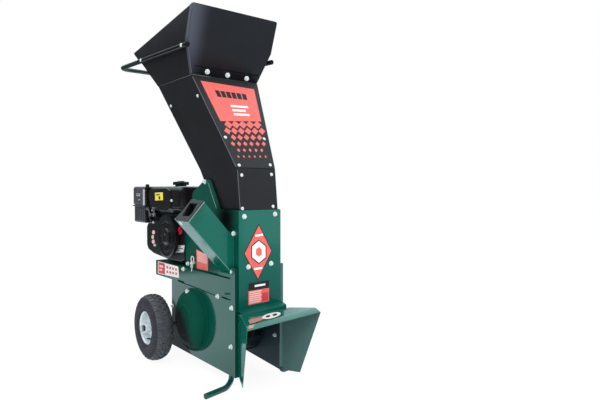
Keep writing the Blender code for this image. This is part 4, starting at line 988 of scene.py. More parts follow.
def air_cleaner():
    """Domed cover with louvres and a pale strip of painted highlight at its front corner, over a ribbed
    element box.
    """
    x0, y0, z0 = AIR_LOW
    x1, y1, z1 = AIR_HIGH
    split = z0 + 0.076
    y0 -= 0.004
    boxes = [
        ((x0, y0, split), (x1, y1, z1), 0.012, 5),
        ((x0 + 0.004, y0 + 0.006, z0), (x1 - 0.004, y1 - 0.006, split + 0.004), 0.007, 3),
        ((x0 - 0.0012, y0 + 0.001, split - 0.004), (x1 + 0.001, y1 + 0.001, split + 0.001), 0.002, 2),
    ]
    for i in range(5):
        y = y0 + 0.018 + i * 0.0225
        boxes.append(((x0 + 0.0015, y, z0 + 0.01), (x0 + 0.012, y + 0.0045, split - 0.006), 0.0016, 2))
    for i in range(4):
        x = x0 + 0.012 + i * 0.018
        boxes.append(((x, y1 - 0.014, z0 + 0.01), (x + 0.0045, y1 - 0.004, split - 0.006), 0.0016, 2))
    obj = many("air_cleaner_cover", [rounded_box(*box) for box in boxes], "grey_plastic", smooth=30.0)
    second_finish(obj, "gloss_plastic", lambda place, way: way.y < -0.6)
    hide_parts("air_cleaner")
    left, start = x0 - 0.001, y0 + 0.05
    louvres = [(z1 - 0.036, 0.046), (z1 - 0.043, 0.046), (z1 - 0.062, 0.024)]
    boxes = [((left, start, z), (x0 + 0.002, start + length, z + 0.004), 0.0009, 2) for z, length in louvres]
    # Painted highlight: a pale strip along the cover's front corner
    boxes.append(((x0 - 0.0012, y0 + 0.004, z1 - 0.084), (x0 + 0.006, y0 + 0.019, z1 - 0.012), 0.003, 3))
    many("air_cleaner_louvres_and_highlight", [rounded_box(*box) for box in boxes], "pale_plastic_and_highlight")
    frame = facing(at(x0 + 0.014, y0 + 0.001, z1 - 0.008), (0, 0, 1))
    knob = turned([(0.0085, 0.0), (0.0085, 0.015), (0.007, 0.0175), (0.0, 0.0175)], frame, 24)
    add_piece("air_cleaner_knob", *knob, "plastic")


# Right side

GUARD_BOLTS = ((0.0, -0.048), (0.16, 0.044), (0.84, -0.044), (1.0, 0.04))
GUARD_SLOTS = 7
MUFFLER_SLOTS = 5
SHIELD = 0.0016


def slot_shape(length, width, steps=6):
    """Outline of a slot with round ends."""
    middle = (length - width) / 2
    points = [(middle + c, s) for c, s in circle(width / 2, steps + 1, -90.0, 180.0)]
    return points + [(c - middle, s) for c, s in circle(width / 2, steps + 1, 90.0, 180.0)]


def belt_guard_trim():
    """Bolts at the ends and cooling slots along the middle of the belt guard."""
    low, high = own_box("belt_guard")
    bottom = Vector((high.x, low.y + 0.069, low.z + 0.069))
    top = Vector((high.x, high.y - 0.06, high.z - 0.06))
    run = (top - bottom).normalized()
    across = Vector((0.0, -run.z, run.y))
    out = Vector((1.0, 0.0, 0.0))
    bolts = Bag()
    for share, side in GUARD_BOLTS:
        place = bottom.lerp(top, share) + across * side
        flange_bolt(bolts, at(*place), out, 0.0085, 3.0 * share)
    bolts.piece("belt_guard_bolts", "zinc")
    middles = [bottom.lerp(top, 0.32 + 0.06 * i) for i in range(GUARD_SLOTS)]
    outline = slot_shape(0.056, 0.006)
    slots = [prism(outline, -0.0006, 0.0005, facing(at(*place), out, run)) for place in middles]
    many("belt_guard_slots", slots, "shadow")


def muffler_trim():
    """Slotted shield on the muffler's right and rear faces."""
    low, high = own_box("muffler")
    rear_low, rear_high = (low.x + 0.016, high.y - 0.001), (high.x - 0.016, high.y + SHIELD)
    side_low, side_high = (high.x - 0.001, low.y + 0.022), (high.x + SHIELD, high.y - 0.016)
    bottom, top = low.z + 0.016, high.z - 0.016
    sheets = ((side_low, side_high), (rear_low, rear_high))
    many("muffler_shield", [rounded_box((*a, bottom), (*b, top), 0.0012, 3) for a, b in sheets], "steel")
    slots = []
    for i in range(MUFFLER_SLOTS):
        z = low.z + 0.03 + 0.018 * i
        side = facing(at(high.x + SHIELD, (low.y + high.y) / 2 + 0.003, z), (1.0, 0.0, 0.0))
        rear = facing(at((low.x + high.x) / 2, high.y + SHIELD, z), (0.0, 1.0, 0.0))
        slots.append(prism(slot_shape(0.08, 0.006), -0.0006, 0.0004, side))
        slots.append(prism(slot_shape(0.034, 0.006), -0.0006, 0.0004, rear))
    many("muffler_slots", slots, "shadow")


# Discharge guard

OUTER_LEFT = (-0.15, -0.153, 0.2375)
OUTER_RIGHT = (0.151, -0.151, 0.253)
BEND_LEFT = (-0.145, -0.14, 0.249)
BEND_RIGHT = (0.144, -0.132, 0.266)
GUARD_TOP = 0.2556
GUARD_EAR = [
    (-0.005, 0.255), (-0.0345, 0.254), (-0.044, 0.253), (-0.046, 0.248), (-0.042, 0.2435),
    (-0.005, 0.2435),
]
ROD_PLACE = (0.0, -0.04, 0.25)


def fold_edges(obj, radius, segments=3):
    """Rounds the bends of an open sheet."""
    bm = bmesh.new()
    bm.from_mesh(obj.data)
    bends = [e for e in bm.edges if len(e.link_faces) == 2 and e.calc_face_angle(0.0) > 0.05]
    bevel_edges(bm, bends, radius, segments)
    bm.to_mesh(obj.data)
    bm.free()
    for poly in obj.data.polygons:
        poly.use_smooth = True


def guard():
    """Folded hood that hangs on the rod, with rounded bends."""
    right = [(0.104, -0.04, GUARD_TOP), BEND_RIGHT, OUTER_RIGHT]
    right += [(0.119, -0.076, 0.03), (0.0935, -0.012, 0.027), (0.091, -0.006, 0.24)]
    left = [(-0.104, -0.04, GUARD_TOP), BEND_LEFT, OUTER_LEFT]
    left += [(-0.119, -0.076, 0.03), (-0.0935, -0.012, 0.045), (-0.091, -0.006, 0.24)]
    faces = [(0, 6, 7, 1), (1, 7, 8, 2), (0, 1, 2, 3, 4, 5), (6, 11, 10, 9, 8, 7)]
    # Painted light: the hood's outer faces in the lighter front green
    obj = add_piece("chip_guard", [at(*p) for p in right + left], faces, "front_green", "guard", 50.0)
    fold_edges(obj, 0.003)
    # Painted light on the hood's inner faces
    obj.data.materials.append(MATERIALS["inside_green_painted_light"])
    thicken(obj, 0.002).material_offset = 1
    round_edges(obj, 0.0005)
    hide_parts("discharge_guard")
    knuckle = [(0.0, -0.0872), (0.0054, -0.0872), (0.0054, 0.0872), (0.0, 0.0872)]
    add_piece("guard_knuckle", *turned(knuckle, facing(at(*ROD_PLACE), (1, 0, 0)), 24), "green", "guard")


# Front plate, outlet and seam

PLATE_LOW, PLATE_HIGH = own_box("front_plate")
PLATE_HALF = 0.0875
PLATE_INSET = 0.004
PLATE_BOTTOM = 0.262
# Painted shade at the foot of the front plate: the darker tone it turns to towards the bottom
PLATE_PAINTED_SHADE = (0.003, 0.1, 0.078)
LIP_HALF = 0.0915
LIP_FRONT = -0.032
# Folds of the lip: place in y, and height at its left and right end
LIP_ROWS = [
    (-0.0006, 0.2655, 0.274),
    (LIP_FRONT, 0.2566, 0.2666),
    (LIP_FRONT - 0.0004, 0.2466, 0.2518),
]


def front_plate():
    """Plate with a folded lip over the guard's rod, and the guard's ear at each end of the lip."""
    left = max(PLATE_LOW.x + PLATE_INSET, -PLATE_HALF)
    right = min(PLATE_HIGH.x - PLATE_INSET, PLATE_HALF)
    ears = [prism(GUARD_EAR, -0.0014, 0.0014, side_frame(sign * (LIP_HALF - 0.0015))) for sign in (-1, 1)]
    # Painted light: the ears in the lighter front green
    many("guard_ears", ears, "front_green", "guard")
    sheet = rounded_box((left, -0.0033, PLATE_BOTTOM), (right, -0.0003, PLATE_HIGH.z), 0.0006, 2)
    # Painted light: the plate in the lighter front green
    plate = add_piece("front_plate_face", *sheet, "front_green")
    # Painted shade: the plate turns darker and duller towards its bottom
    plate.data.materials[0] = painted_gradient("front_green", "Z", (0.54, 0.33), PLATE_PAINTED_SHADE, 0.45)
    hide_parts("front_plate")
    rows = [at(sign * LIP_HALF, y, z) for y, *ends in LIP_ROWS for sign, z in zip((-1, 1), ends)]
    lip = add_piece("front_lip", rows, [(0, 1, 3, 2), (2, 3, 5, 4)], "satin_green")
    fold_edges(lip, 0.0055, 5)
    thicken(lip, 0.0026)
    round_edges(lip, 0.0007)


CLIP_X = -0.1024
CLIP_LOW, CLIP_HIGH = own_box("r_clip")
CLIP_EYE = 0.011


def clip():
    """Spring clip: straight leg through the pin's end, and an eye above it."""
    y, z = (CLIP_LOW.y + CLIP_HIGH.y) / 2 - 0.018, CLIP_HIGH.z - 0.0135
    eye = [at(CLIP_X, y + c, z + s) for c, s in circle(CLIP_EYE, 15, -60.0, 300.0)]
    points = [at(CLIP_X, y + 0.008, z - 0.048)] + eye[::-1] + [at(CLIP_X, y + 0.013, z - 0.033)]
    obj = add_piece("spring_clip", *swept(points, 0.0018, 10), "white_zinc", "clip")
    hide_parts("r_clip")


def ledge():
    """Closes the step between the lower side plates and the housing."""
    bag = Bag()
    for left, right in ((-0.1008, -0.0873), (0.0873, 0.1008)):
        bag.add(*rounded_box((left, 0.033, 0.3655), (right, 0.275, 0.3672), 0.0011, 2))
    bag.piece("side_ledges", "green")


LINER_X = 0.0972
LINER_HALF = 0.0006
LINER = [(0.0035, 0.019), (0.243, 0.0357), (0.243, 0.25), (0.0035, 0.25)]
LINER_BOLT = (0.0445, 0.141)


def outlet_liner():
    """Plain plate inside the outlet's right wall, with a lower edge that drops to the front; its dark tone is
    painted shade.
    """
    sheet = prism(LINER, -LINER_HALF, LINER_HALF, side_frame(LINER_X))
    round_edges(add_piece("outlet_liner", *sheet, "liner"), 0.0003)
    bolt = Bag()
    flange_bolt(bolt, at(LINER_X - LINER_HALF, *LINER_BOLT), Vector((-1, 0, 0)), 0.0085, 0.5)
    bolt.piece("liner_bolt", "zinc")


SEAM_MARKS = [
    [(177.9, 279.4), (184.2, 281.6), (184.2, 284.0), (177.9, 281.2)],
    [(183.8, 282.8), (195.0, 287.0), (216.0, 295.2), (216.0, 296.1), (195.0, 287.9), (183.8, 283.7)],
    [(221.6, 296.2), (225.5, 297.4), (231.2, 299.9), (231.0, 300.7), (225.0, 299.1), (221.6, 297.6)],
    [(224.2, 292.6), (229.8, 292.9), (230.4, 294.8), (225.2, 294.8)],
]


def seam():
    """Joint line and slots in the left side plate."""
    node = "base_side_left"
    plane = side_seat(node, -1, 0.05, 0.2)
    prints("side_seam", node, SEAM_MARKS[:3], "seam_green", lift=-0.0001, plane=plane)
    prints("side_slot", node, SEAM_MARKS[3:], "slot_green", lift=-0.0001, plane=plane)


# The round cover sits further back and lower than its CAD node
DOME_SHIFT = 0.054
DOME_DROP = 0.008
DOME_DEPTH = 0.93
DOME_LOW, DOME_HIGH = own_box("bearing_cover")


def dome():
    """Pressed round cover with a faint ring, over the rotor's left bearing."""
    middle = (DOME_LOW + DOME_HIGH) / 2
    frame = facing(at(DOME_HIGH.x, middle.y + DOME_SHIFT, middle.z - DOME_DROP), (-1, 0, 0))
    reach = (DOME_HIGH.z - DOME_LOW.z) / 2 - 0.006
    depth = (DOME_HIGH.x - DOME_LOW.x) * DOME_DEPTH
    profile = [(reach, 0.0), (reach, 0.001), (reach - 0.002, 0.002)]
    arc = circle(1.0, 17, 0.0, 90.0)
    profile += [(0.062 + (reach - 0.066) * c, 0.003 + (depth - 0.008) * s) for c, s in arc]
    profile += [
        (0.059, depth - 0.0036), (0.057, depth - 0.0012), (0.054, depth), (0.051, depth - 0.0012),
        (0.049, depth - 0.0036), (0.03, depth - 0.004), (0.0, depth - 0.004),
    ]
    obj = add_piece("bearing_dome", *turned(profile, frame, 96), "deep_green", smooth=60.0)
    # Painted shade and reflection of the left wheel over the cover's rear side
    obj.data.materials[0] = painted_wheel_shade("deep_green", 0.08, 0.04)
    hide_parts("bearing_cover")


# Finishes with painted shade and painted sheen

# Painted shade of the left wheel: the slant of its edge, a point on that edge, the heights where it fades
# out, and its tone
WHEEL_SHADE = Vector((-2.08, 1.0, -0.79))
WHEEL_SHADE_EDGE = (-0.1, 0.298, 0.0)
WHEEL_SHADE_TOP = (0.205, 0.24)
WHEEL_SHADE_TONE = (0.012, 0.015, 0.016)


def copy_finish(key, ending):
    """Copy of a finish under its own name, with its node tree."""
    mat = MATERIALS[key].copy()
    mat.name = key + ending
    return mat, mat.node_tree


def paint_shade_and_sheen(tree, mask, tone, dull):
    """Paints light and shade into a finish: turns it to another tone by a mask, with less gloss there."""
    shader = tree.nodes["Principled BSDF"]
    own_tone = shader.inputs["Base Color"].links[0].from_socket
    tree.links.new(two_tones(tree, mask, own_tone, tone), shader.inputs["Base Color"])
    coat = shader.inputs["Coat Weight"].default_value
    if coat > 0.0:
        gloss = map_range(tree, mask, 0.0, 1.0, coat, coat * dull)
        tree.links.new(gloss.outputs["Result"], shader.inputs["Coat Weight"])


def painted_wheel_shade(key, forward=0.0, soft=0.0):
    """Copy of a finish with painted shade beside the left wheel: dark and dull from a slanted edge on, for
    the wheel's shadow and its dark reflection.
    """
    mat, tree = copy_finish(key, "_by_wheel")
    place, parts = coordinates(tree)
    along = vector_math(tree, "DOT_PRODUCT", place, WHEEL_SHADE)
    edge = WHEEL_SHADE.dot(at(*WHEEL_SHADE_EDGE)) - forward
    near = ramp(tree, along, edge - 0.012, edge + 0.02 + soft)
    below = ramp(tree, parts["Z"], WHEEL_SHADE_TOP[1], WHEEL_SHADE_TOP[0])
    paint_shade_and_sheen(tree, combine(tree, "MULTIPLY", near, below), WHEEL_SHADE_TONE, 0.25)
    return mat


def painted_shadow_patch(key, middle, reach, tone):
    """Copy of a finish with a painted shadow: a soft dark, dull patch round a point of the row frame."""
    mat, tree = copy_finish(key, "_with_shade")
    away = vector_math(tree, "DISTANCE", coordinates(tree)[0], middle)
    paint_shade_and_sheen(tree, ramp(tree, away, reach[1], reach[0]), tone, 0.1)
    return mat


def painted_gradient(key, axis, ends, tone, dull):
    """Copy of a finish with a painted gradient of light: it turns to another tone between two places along an
    axis of the working frame.
    """
    mat, tree = copy_finish(key, "_painted_gradient")
    shift = ORIGIN["XYZ".index(axis)]
    mask = ramp(tree, coordinates(tree)[1][axis], shift + ends[0], shift + ends[1])
    paint_shade_and_sheen(tree, mask, tone, dull)
    return mat


# Painted shadow of the side feed chute on the housing: its middle pixel, reach and tone
HOUSING_SHADE = (225.6, 218.0)
HOUSING_SHADE_REACH = (0.008, 0.105)
HOUSING_SHADE_TONE = (0.003, 0.005, 0.005)
HOUSING_FLANGE = [
    (204.2, 180.0), (199.2, 186.2), (195.8, 188.8), (193.2, 192.4), (192.3, 196.4), (192.8, 199.3),
    (203.0, 200.4), (211.0, 196.0), (207.2, 179.4),
]


def plates():
    """Side plates, housing and deck: painted shade by the wheel and on the left flange, painted light inside
    the outlet, a dull deck top and a painted shadow on the housing.
    """
    left = twin("left_plate", "base_side_left", "green")
    # Painted shade and reflection of the left wheel on the plate
    left.data.materials[0] = painted_wheel_shade("green")
    right = twin("right_plate", "base_side_right", "green")
    # Painted shade on the left plate's front flange and painted light on the right plate's front edge inside
    # the outlet
    for obj, key in ((left, "flange_green_painted_shade"), (right, "inside_green_painted_light")):
        second_finish(obj, key, lambda place, way: way.y < -0.5 and place.y < 0.01)
    deck = twin("deck_plate", "engine_deck", "green")
    second_finish(deck, "deep_green", lambda place, way: way.z > 0.7)
    housing = twin("housing_shell", "upper_housing", "green")
    middle = seat("upper_housing", HOUSING_SHADE)[0]
    # Painted shadow of the side feed chute on the housing's side
    housing.data.materials[0] = painted_shadow_patch("green", middle, HOUSING_SHADE_REACH, HOUSING_SHADE_TONE)
    flange = pad("housing_flange", "upper_housing", HOUSING_FLANGE, 0.0016, "green", 0.0005)


# Hopper

# Sections of the front panel: height, half width and place in y
HOPPER_ROWS = (
    (1.0968, 0.1435, 0.229), (1.211, 0.1825, 0.1858), (1.3205, 0.1825, 0.1442), (1.3252, 0.178, 0.1426),
)
HOPPER_BEND = 0.01
HOPPER_CORNER = [(0.1404, 0.529, 1.0985), (0.1742, 0.6055, 1.196), (0.1803, 0.686, 1.256)]
HOPPER_REAR_JOINT = ((-0.14, 0.5264, 1.0962), (0.14, 0.5264, 1.0962))
HOPPER_FOLD_SHADE = [(194.5, 65.2), (258.6, 75.6), (258.6, 76.3), (194.5, 66.0)]
# Painted sheen on the hopper front's left: where it starts and ends in x, and its lighter tone
SHEEN = (-0.1, -0.185)
SHEEN_TONE = (0.075, 0.084, 0.115)


def hopper_front():
    """Front panel with soft side bends, a thin top, a painted sheen towards its left and painted shade on its
    cut edges.
    """
    verts = []
    for z, half, y in HOPPER_ROWS:
        bend = [(HOPPER_BEND - half + c, y + HOPPER_BEND + s) for c, s in circle(HOPPER_BEND, 7, 180.0, 90.0)]
        section = [(-half, y + 0.014)] + bend
        section += [(-x, depth) for x, depth in section[::-1]]
        verts += [at(x, depth, z) for x, depth in section]
    count = len(section)
    faces = []
    for i in range(len(HOPPER_ROWS) - 1):
        for a in range(i * count, (i + 1) * count - 1):
            faces.append((a, a + 1, a + count + 1, a + count))
    front = add_piece("hopper_front_panel", verts, faces, "front_black", smooth=50.0)
    # Painted sheen, lighter towards the left bend
    front.data.materials[0] = painted_gradient("front_black", "X", SHEEN, SHEEN_TONE, 1.0)
    # Painted shade on the sheet's cut edges
    front.data.materials.append(MATERIALS["shadow"])
    thicken(front, 0.002).material_offset_rim = 1
    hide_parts("hopper_front")


def hopper_sides():
    """Side panels with painted shade on their lower edges, a painted shade line along the front's fold, and
    the dark welds along the rear corners.
    """
    for side in ("left", "right"):
        panel = twin("hopper_panel_" + side, "hopper_side_" + side, "black")
        # Painted shade on the panels' downward-facing lower edges
        second_finish(panel, "shadow", lambda place, way: way.z < -0.7 and place.z < 1.15)
    # Painted shade line along the front panel's fold
    prints("hopper_fold_shade", "hopper_front", [HOPPER_FOLD_SHADE], "shadow")
    welds = [swept([at(*p) for p in HOPPER_REAR_JOINT], 0.0016, 10)]
    welds += [swept([at(sign * x, y, z) for x, y, z in HOPPER_CORNER], 0.003, 12) for sign in (-1, 1)]
    many("hopper_welds", welds, "shadow")


# Feet

FEET = {
    "left": [
        (-0.085, 0.048, 0.085), (-0.085, 0.048, 0.0125), (-0.135, 0.0033, 0.0098),
        (-0.2235, -0.0184, 0.0098),
    ],
    "right": [
        (0.1112, 0.026, 0.05), (0.1112, 0.026, 0.0105), (0.15, 0.034, 0.0098), (0.198, 0.043, 0.0098),
    ],
}
FOOT_BEND = 0.055
FOOT_R = 0.0098


def feet():
    """Bent bars that carry the machine's front."""
    for side, corners in FEET.items():
        path = filleted([at(*p) for p in corners], FOOT_BEND, 10)
        obj = add_piece("foot_" + side, *swept(path, FOOT_R, 20), "green")
        round_edges(obj, 0.0008, 2, 60)
        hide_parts("stand_foot_" + side)


# Side feed chute

MOUTH_OUTER = [(175.3, 219.5), (191.4, 199.3), (203.4, 200.8), (187.4, 221.3)]
MOUTH_INNER = [(182.0, 215.6), (189.6, 203.2), (197.5, 203.5), (190.3, 216.4)]
MOUTH_MIDDLE = (181.0, 217.5)
MOUTH_DEPTH = 0.006
BRANCH_AXIS = Vector((-0.669, 0.0, 0.743))


def mouth():
    """Rubber edge round the side feed chute's opening, with a painted highlight bead behind its lower sides.
    """
    place, normal = seat("branch_chute_rim", MOUTH_MIDDLE)
    outer = [plane_point(place, normal, pixel) for pixel in MOUTH_OUTER]
    inner = [plane_point(place, normal, pixel) for pixel in MOUTH_INNER]
    verts = [point - normal * depth for depth in (0.0, MOUTH_DEPTH) for point in outer + inner]
    faces = []
    for i in range(4):
        j = (i + 1) % 4
        faces += [(i, j, 4 + j, 4 + i), (8 + i, 12 + i, 12 + j, 8 + j)]
        faces += [(i, 8 + i, 8 + j, j), (4 + i, 4 + j, 12 + j, 12 + i)]
    obj = add_piece("branch_mouth", verts, faces, "rim_rubber")
    round_edges(obj, 0.0012, 3)
    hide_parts("branch_chute_rim")
    ring = [outer[i] - normal * 0.005 for i in (0, 3, 2, 1)]
    # Painted highlight along the mouth's edge
    add_piece("branch_mouth_highlight", *swept(ring, 0.0016, 8), "edge_green")


def branch():
    """Side feed chute, dark inside its mouth."""
    # Painted light: the chute in the lighter front green
    obj = twin("branch_chute_shell", "branch_chute", "front_green")
    low, high = own_box("branch_chute_rim")
    middle = (low + high) / 2

    def inside(place, way):
        away = place - middle
        away -= BRANCH_AXIS * away.dot(BRANCH_AXIS)
        return away.dot(way) < -0.01 and away.length < 0.06 and place.x < -0.095

    second_finish(obj, "rubber", inside)


# Handle

HANDLE_HALF = 0.1935
HANDLE_REAR = 0.825
HANDLE_ENDS = ((-1, 0.158), (1, 0.2))
HANDLE_SHADE_START = 0.6
SPACERS = ((0.235, 0.1745), (0.584, 0.1804))
HANDLE_SCREWS = ((-1, 0.1914), (-1, 0.5625), (1, 0.235), (1, 0.5625))


def handle_height(y):
    """Height of the tube's middle, which rises to the rear."""
    return 1.181 + (1.214 - 1.181) * (y - 0.145) / (HANDLE_REAR - 0.145)


def handle():
    """Bent tube with plugged ends on four spacers, painted shade on the front of its left leg and a painted
    highlight line under that leg.
    """
    x = HANDLE_HALF
    ends = [at(sign * x, y, handle_height(y)) for sign, y in HANDLE_ENDS]
    step = at(-x, HANDLE_SHADE_START, handle_height(HANDLE_SHADE_START))
    rear = [at(sign * x, HANDLE_REAR, handle_height(HANDLE_REAR)) for sign in (-1, 1)]
    bend = filleted([step, *rear, ends[1]], 0.05, 10)
    shapes = [swept([ends[0], *bend], 0.0095, 20)]
    for y, reach in SPACERS:
        for sign in (-1, 1):
            frame = facing(at(0, y, handle_height(y)), (sign, 0, 0))
            shapes.append(turned([(0.0062, reach), (0.0062, x - 0.004)], frame, 20))
    obj = many("handle", shapes, "tube_black")
    # Painted shade on the left leg beside the hopper
    second_finish(obj, "leg_black_painted_shade", lambda place, way: place.y < HANDLE_SHADE_START - 0.001)
    round_edges(obj, 0.0012, 2, 60)
    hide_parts("handle_bar")
    bolts = Bag()
    for sign, y in HANDLE_SCREWS:
        pan_screw(bolts, at(sign * (x + 0.0086), y, handle_height(y)), Vector((sign, 0, 0)), 0.007)
    bolts.piece("handle_screws", "zinc")
    line = [at(-x - 0.0072, y, handle_height(y) - 0.0064) for y in (0.165, 0.595)]
    # Painted reflection: a light line along the underside of the left leg
    add_piece("handle_highlight_line", *swept(line, 0.0009, 8), "edge_black")


# Painted edge highlights: node, a pixel inside its face and the ends of the line

BLACK_HIGHLIGHTS = [
    ("chute_front_upper", (240.0, 110.0), [(192.6, 76.6), (236.0, 166.8)]),
    ("chute_front_lower", (255.0, 190.0), [(237.4, 170.2), (240.2, 210.0)]),
    ("hopper_front", (230.0, 25.0), [(191.6, 5.0), (187.2, 36.6)]),
    ("hopper_front", (230.0, 60.0), [(187.6, 41.0), (191.4, 72.6)]),
]
GREEN_HIGHLIGHTS = [
    ("branch_chute", (205.0, 225.0), [(188.4, 222.3), (229.6, 270.4)]),
    ("upper_housing", (206.0, 192.0), [(193.0, 199.6), (201.6, 199.3)]),
    ("upper_housing", (206.0, 192.0), [(208.0, 182.5), (216.6, 208.5)]),
]


def highlight_beads(name, rows, key, radius, lift):
    """Painted highlights as thin light beads along edges on the left of the folded panels."""
    bag = Bag()
    for node, middle, ends in rows:
        plane = seat(node, middle)
        bag.add(*swept([plane_point(*plane, pixel) + plane[1] * lift for pixel in ends], radius, 8))
    bag.piece(name, key)


# Places of the fasteners: node, its twin on the other side where that shows the same, and pixels

HOPPER_BOLTS = [("hopper_front", None, [(207.3, 71.8), (227.6, 75.3), (246.6, 78.6)])]
HOUSING_BOLTS = [
    ("housing_flange", None, [(204.8, 181.8)]),
    ("upper_housing", None, [(188.2, 263.7)]),
    ("branch_chute", None, [(233.6, 233.5)]),
    ("front_plate", None, [(244.3, 216.6), (274.9, 214.1), (248.4, 267.0), (271.0, 263.4)]),
]
BASE_BOLTS = [
    ("base_side_left", "base_side_right", [(231.9, 308.1), (231.3, 346.9)]),
    ("bearing_dome", None, [(187.4, 291.6)]),
    ("base_side_left", None, [(172.9, 305.8)]),
]
CHUTE_SCREWS = [
    ("chute_front_upper", None, [(225.4, 137.3), (264.2, 138.9), (239.1, 165.2), (270.2, 165.0)]),
    ("chute_front_lower", None, [(241.7, 175.1), (271.4, 174.5), (242.4, 208.6), (273.0, 206.4)]),
    ("chute_body", "chute_body", [(197.6, 95.8), (171.0, 106.0)]),
]
BRANCH_SCREWS = [("branch_chute", None, [(180.9, 222.9)])]
CORNER_FACE = (233.6, 233.5)
CORNER_BOLT = (232.2, 271.7)

# Bolts by their side and their place in y and z
SIDE_BOLTS = [
    ("upper_housing", 1, 0.211, 0.699),
    ("engine_deck", -1, 0.39, 0.361),
    ("engine_deck", 1, 0.39, 0.361),
    ("base_side_left", -1, 0.116, 0.2965),
    ("base_side_right", 1, 0.116, 0.2965),
]


def fasteners():
    bag = Bag()
    for node, sign, y, z in SIDE_BOLTS:
        flange_bolt(bag, *side_seat(node, sign, y, z), 0.0088, y * 9)
    bag.piece("side_bolts", "zinc")
    bag = Bag()
    plane = seat("branch_chute", CORNER_FACE)
    flange_bolt(bag, plane_point(*plane, CORNER_BOLT), plane[1], 0.009, 0.8)
    bag.piece("chute_corner_bolt", "zinc")
    group_bolts("hopper_bolts", flange_bolt, 0.0098, HOPPER_BOLTS)
    group_bolts("housing_bolts", flange_bolt, 0.0088, HOUSING_BOLTS)
    group_bolts("base_bolts", flange_bolt, 0.0088, BASE_BOLTS)
    group_bolts("chute_screws", pan_screw, 0.0062, CHUTE_SCREWS)
    group_bolts("branch_screws", pan_screw, 0.0095, BRANCH_SCREWS)


# Labels

PRINT_BACK = 0.0002
PRINT_FRONT = 0.0003


def prints(name, node, shapes, finish, body="machine", lift=0.0, plane=None):
    """Thin shapes on a CAD face, each with its corners at these pixels."""
    place, normal = plane or face_plane(node, shapes[0])
    slabs = []
    for shape in shapes:
        corners = [plane_point(place, normal, corner) for corner in shape]
        slabs.append(slab(corners, normal, lift - PRINT_BACK, lift + PRINT_FRONT))
    return many(name, slabs, finish, body)


def blend(corners, u, v):
    """Pixel at a share of the way across and down four corners, from the top left one round."""
    a, b, c, d = corners
    top = (a[0] + (b[0] - a[0]) * u, a[1] + (b[1] - a[1]) * u)
    low = (d[0] + (c[0] - d[0]) * u, d[1] + (c[1] - d[1]) * u)
    return top[0] + (low[0] - top[0]) * v, top[1] + (low[1] - top[1]) * v


def blocks(corners, rows):
    """Bars in a label's own shares: left, top, right, bottom."""
    return [[blend(corners, *p) for p in ((l, t), (r, t), (r, b), (l, b))] for l, t, r, b in rows]


CHUTE_LABEL = [(200.5, 80.7), (254.0, 89.3), (261.2, 121.5), (220.4, 121.0)]
CHUTE_FADE = [(220.4, 121.0), (261.2, 121.5), (266.6, 159.5), (237.6, 159.5)]
DIAMOND = [(258.8, 223.6), (272.2, 251.0), (257.9, 280.4), (243.7, 253.9)]
DIAMOND_BODY = [(258.8, 225.4), (271.3, 251.0), (257.9, 278.6), (244.6, 253.8)]
FRONT_BAND = [(248.5, 283.5), (269.0, 280.0), (269.0, 287.5), (248.4, 291.0)]
FRONT_LABEL = [(248.4, 291.2), (269.0, 287.7), (269.0, 301.0), (248.3, 305.2)]
SIDE_LABEL = [(196.3, 249.4), (208.0, 255.0), (208.0, 271.0), (196.9, 268.6)]
DECK_LABEL = [(157.9, 261.2), (178.3, 266.6), (179.0, 277.9), (157.9, 273.4)]
TANK_LABEL = [(155.9, 192.7), (163.7, 192.3), (164.1, 200.1), (156.1, 200.5)]
SILVER_LABEL = [(177.0, 245.6), (185.0, 245.2), (183.8, 252.2), (175.8, 252.7)]


def fading_diamonds():
    """Rows of diamonds that get smaller down the chute."""
    shapes = []
    rows, columns = 6, 5
    for row in range(rows):
        size = 1.02 - 0.135 * row
        for column in range(columns + row % 2):
            u = (column + 0.5 * (1 + (row + 1) % 2)) / (columns + 0.5) - 0.02
            v = (row + 0.55) / rows
            if not 0.03 < u < 0.99:
                continue
            wide, tall = 0.5 * size / columns, 0.62 * size / rows
            corners = ((u, v - tall), (u + wide, v), (u, v + tall), (u - wide, v))
            shapes.append([blend(CHUTE_FADE, *corner) for corner in corners])
    return shapes


def hexagon(middle, wide, tall):
    """Six corners, the first of them half a side up from the right."""
    return [(middle[0] + wide * c, middle[1] + tall * s) for c, s in circle(1.0, 6, 30.0)]


def lines(top, bottom, count, fill, left=0.08, ends=(0.92,)):
    """Rows of plain bars with uneven right ends."""
    step = (bottom - top) / count
    return [(left, top + i * step, ends[i % len(ends)], top + (i + fill) * step) for i in range(count)]


GUARD_STRIP = [(248.3, 320.6), (262.0, 316.9), (268.0, 318.4), (256.0, 322.6), (249.8, 324.4)]
GUARD_BAND_STRIP = [(248.6, 326.0), (255.0, 324.4), (253.0, 328.2), (248.4, 329.4)]
GUARD_PILL = (271.4, 316.1, 9.4, 2.7)
GUARD_DOTS = [(268.0, 316.9, 2.3, 1.0), (274.8, 315.3, 2.3, 1.0)]


def tilted_oval(u, v, wide, tall):
    """Oval that leans along the guard's top."""
    return [(u + wide * c, v + tall * s - 0.22 * wide * c) for c, s in circle(1.0, 20)]


def guard_label():
    """Strip and oval on the guard's top."""
    node = "chip_guard"
    prints("guard_strip", node, [GUARD_STRIP], "dusty_pink", "guard", 0.0014)
    prints("guard_band_strip", node, [GUARD_BAND_STRIP], "dusty_pink", "guard", 0.0014)
    oval = tilted_oval(*GUARD_PILL)
    plane = face_plane(node, oval)
    prints("guard_oval", node, [oval], "white", "guard", 0.0016, plane)
    prints("guard_dots", node, [tilted_oval(*dot) for dot in GUARD_DOTS], "black", "guard", 0.002, plane)


DIAMOND_MIDDLE = (258.7, 251.8)
DIAMOND_BARS = [(255.2, 234.2, 262.7, 236.2), (253.9, 267.4, 262.2, 269.5)]
ABOVE = 0.0003


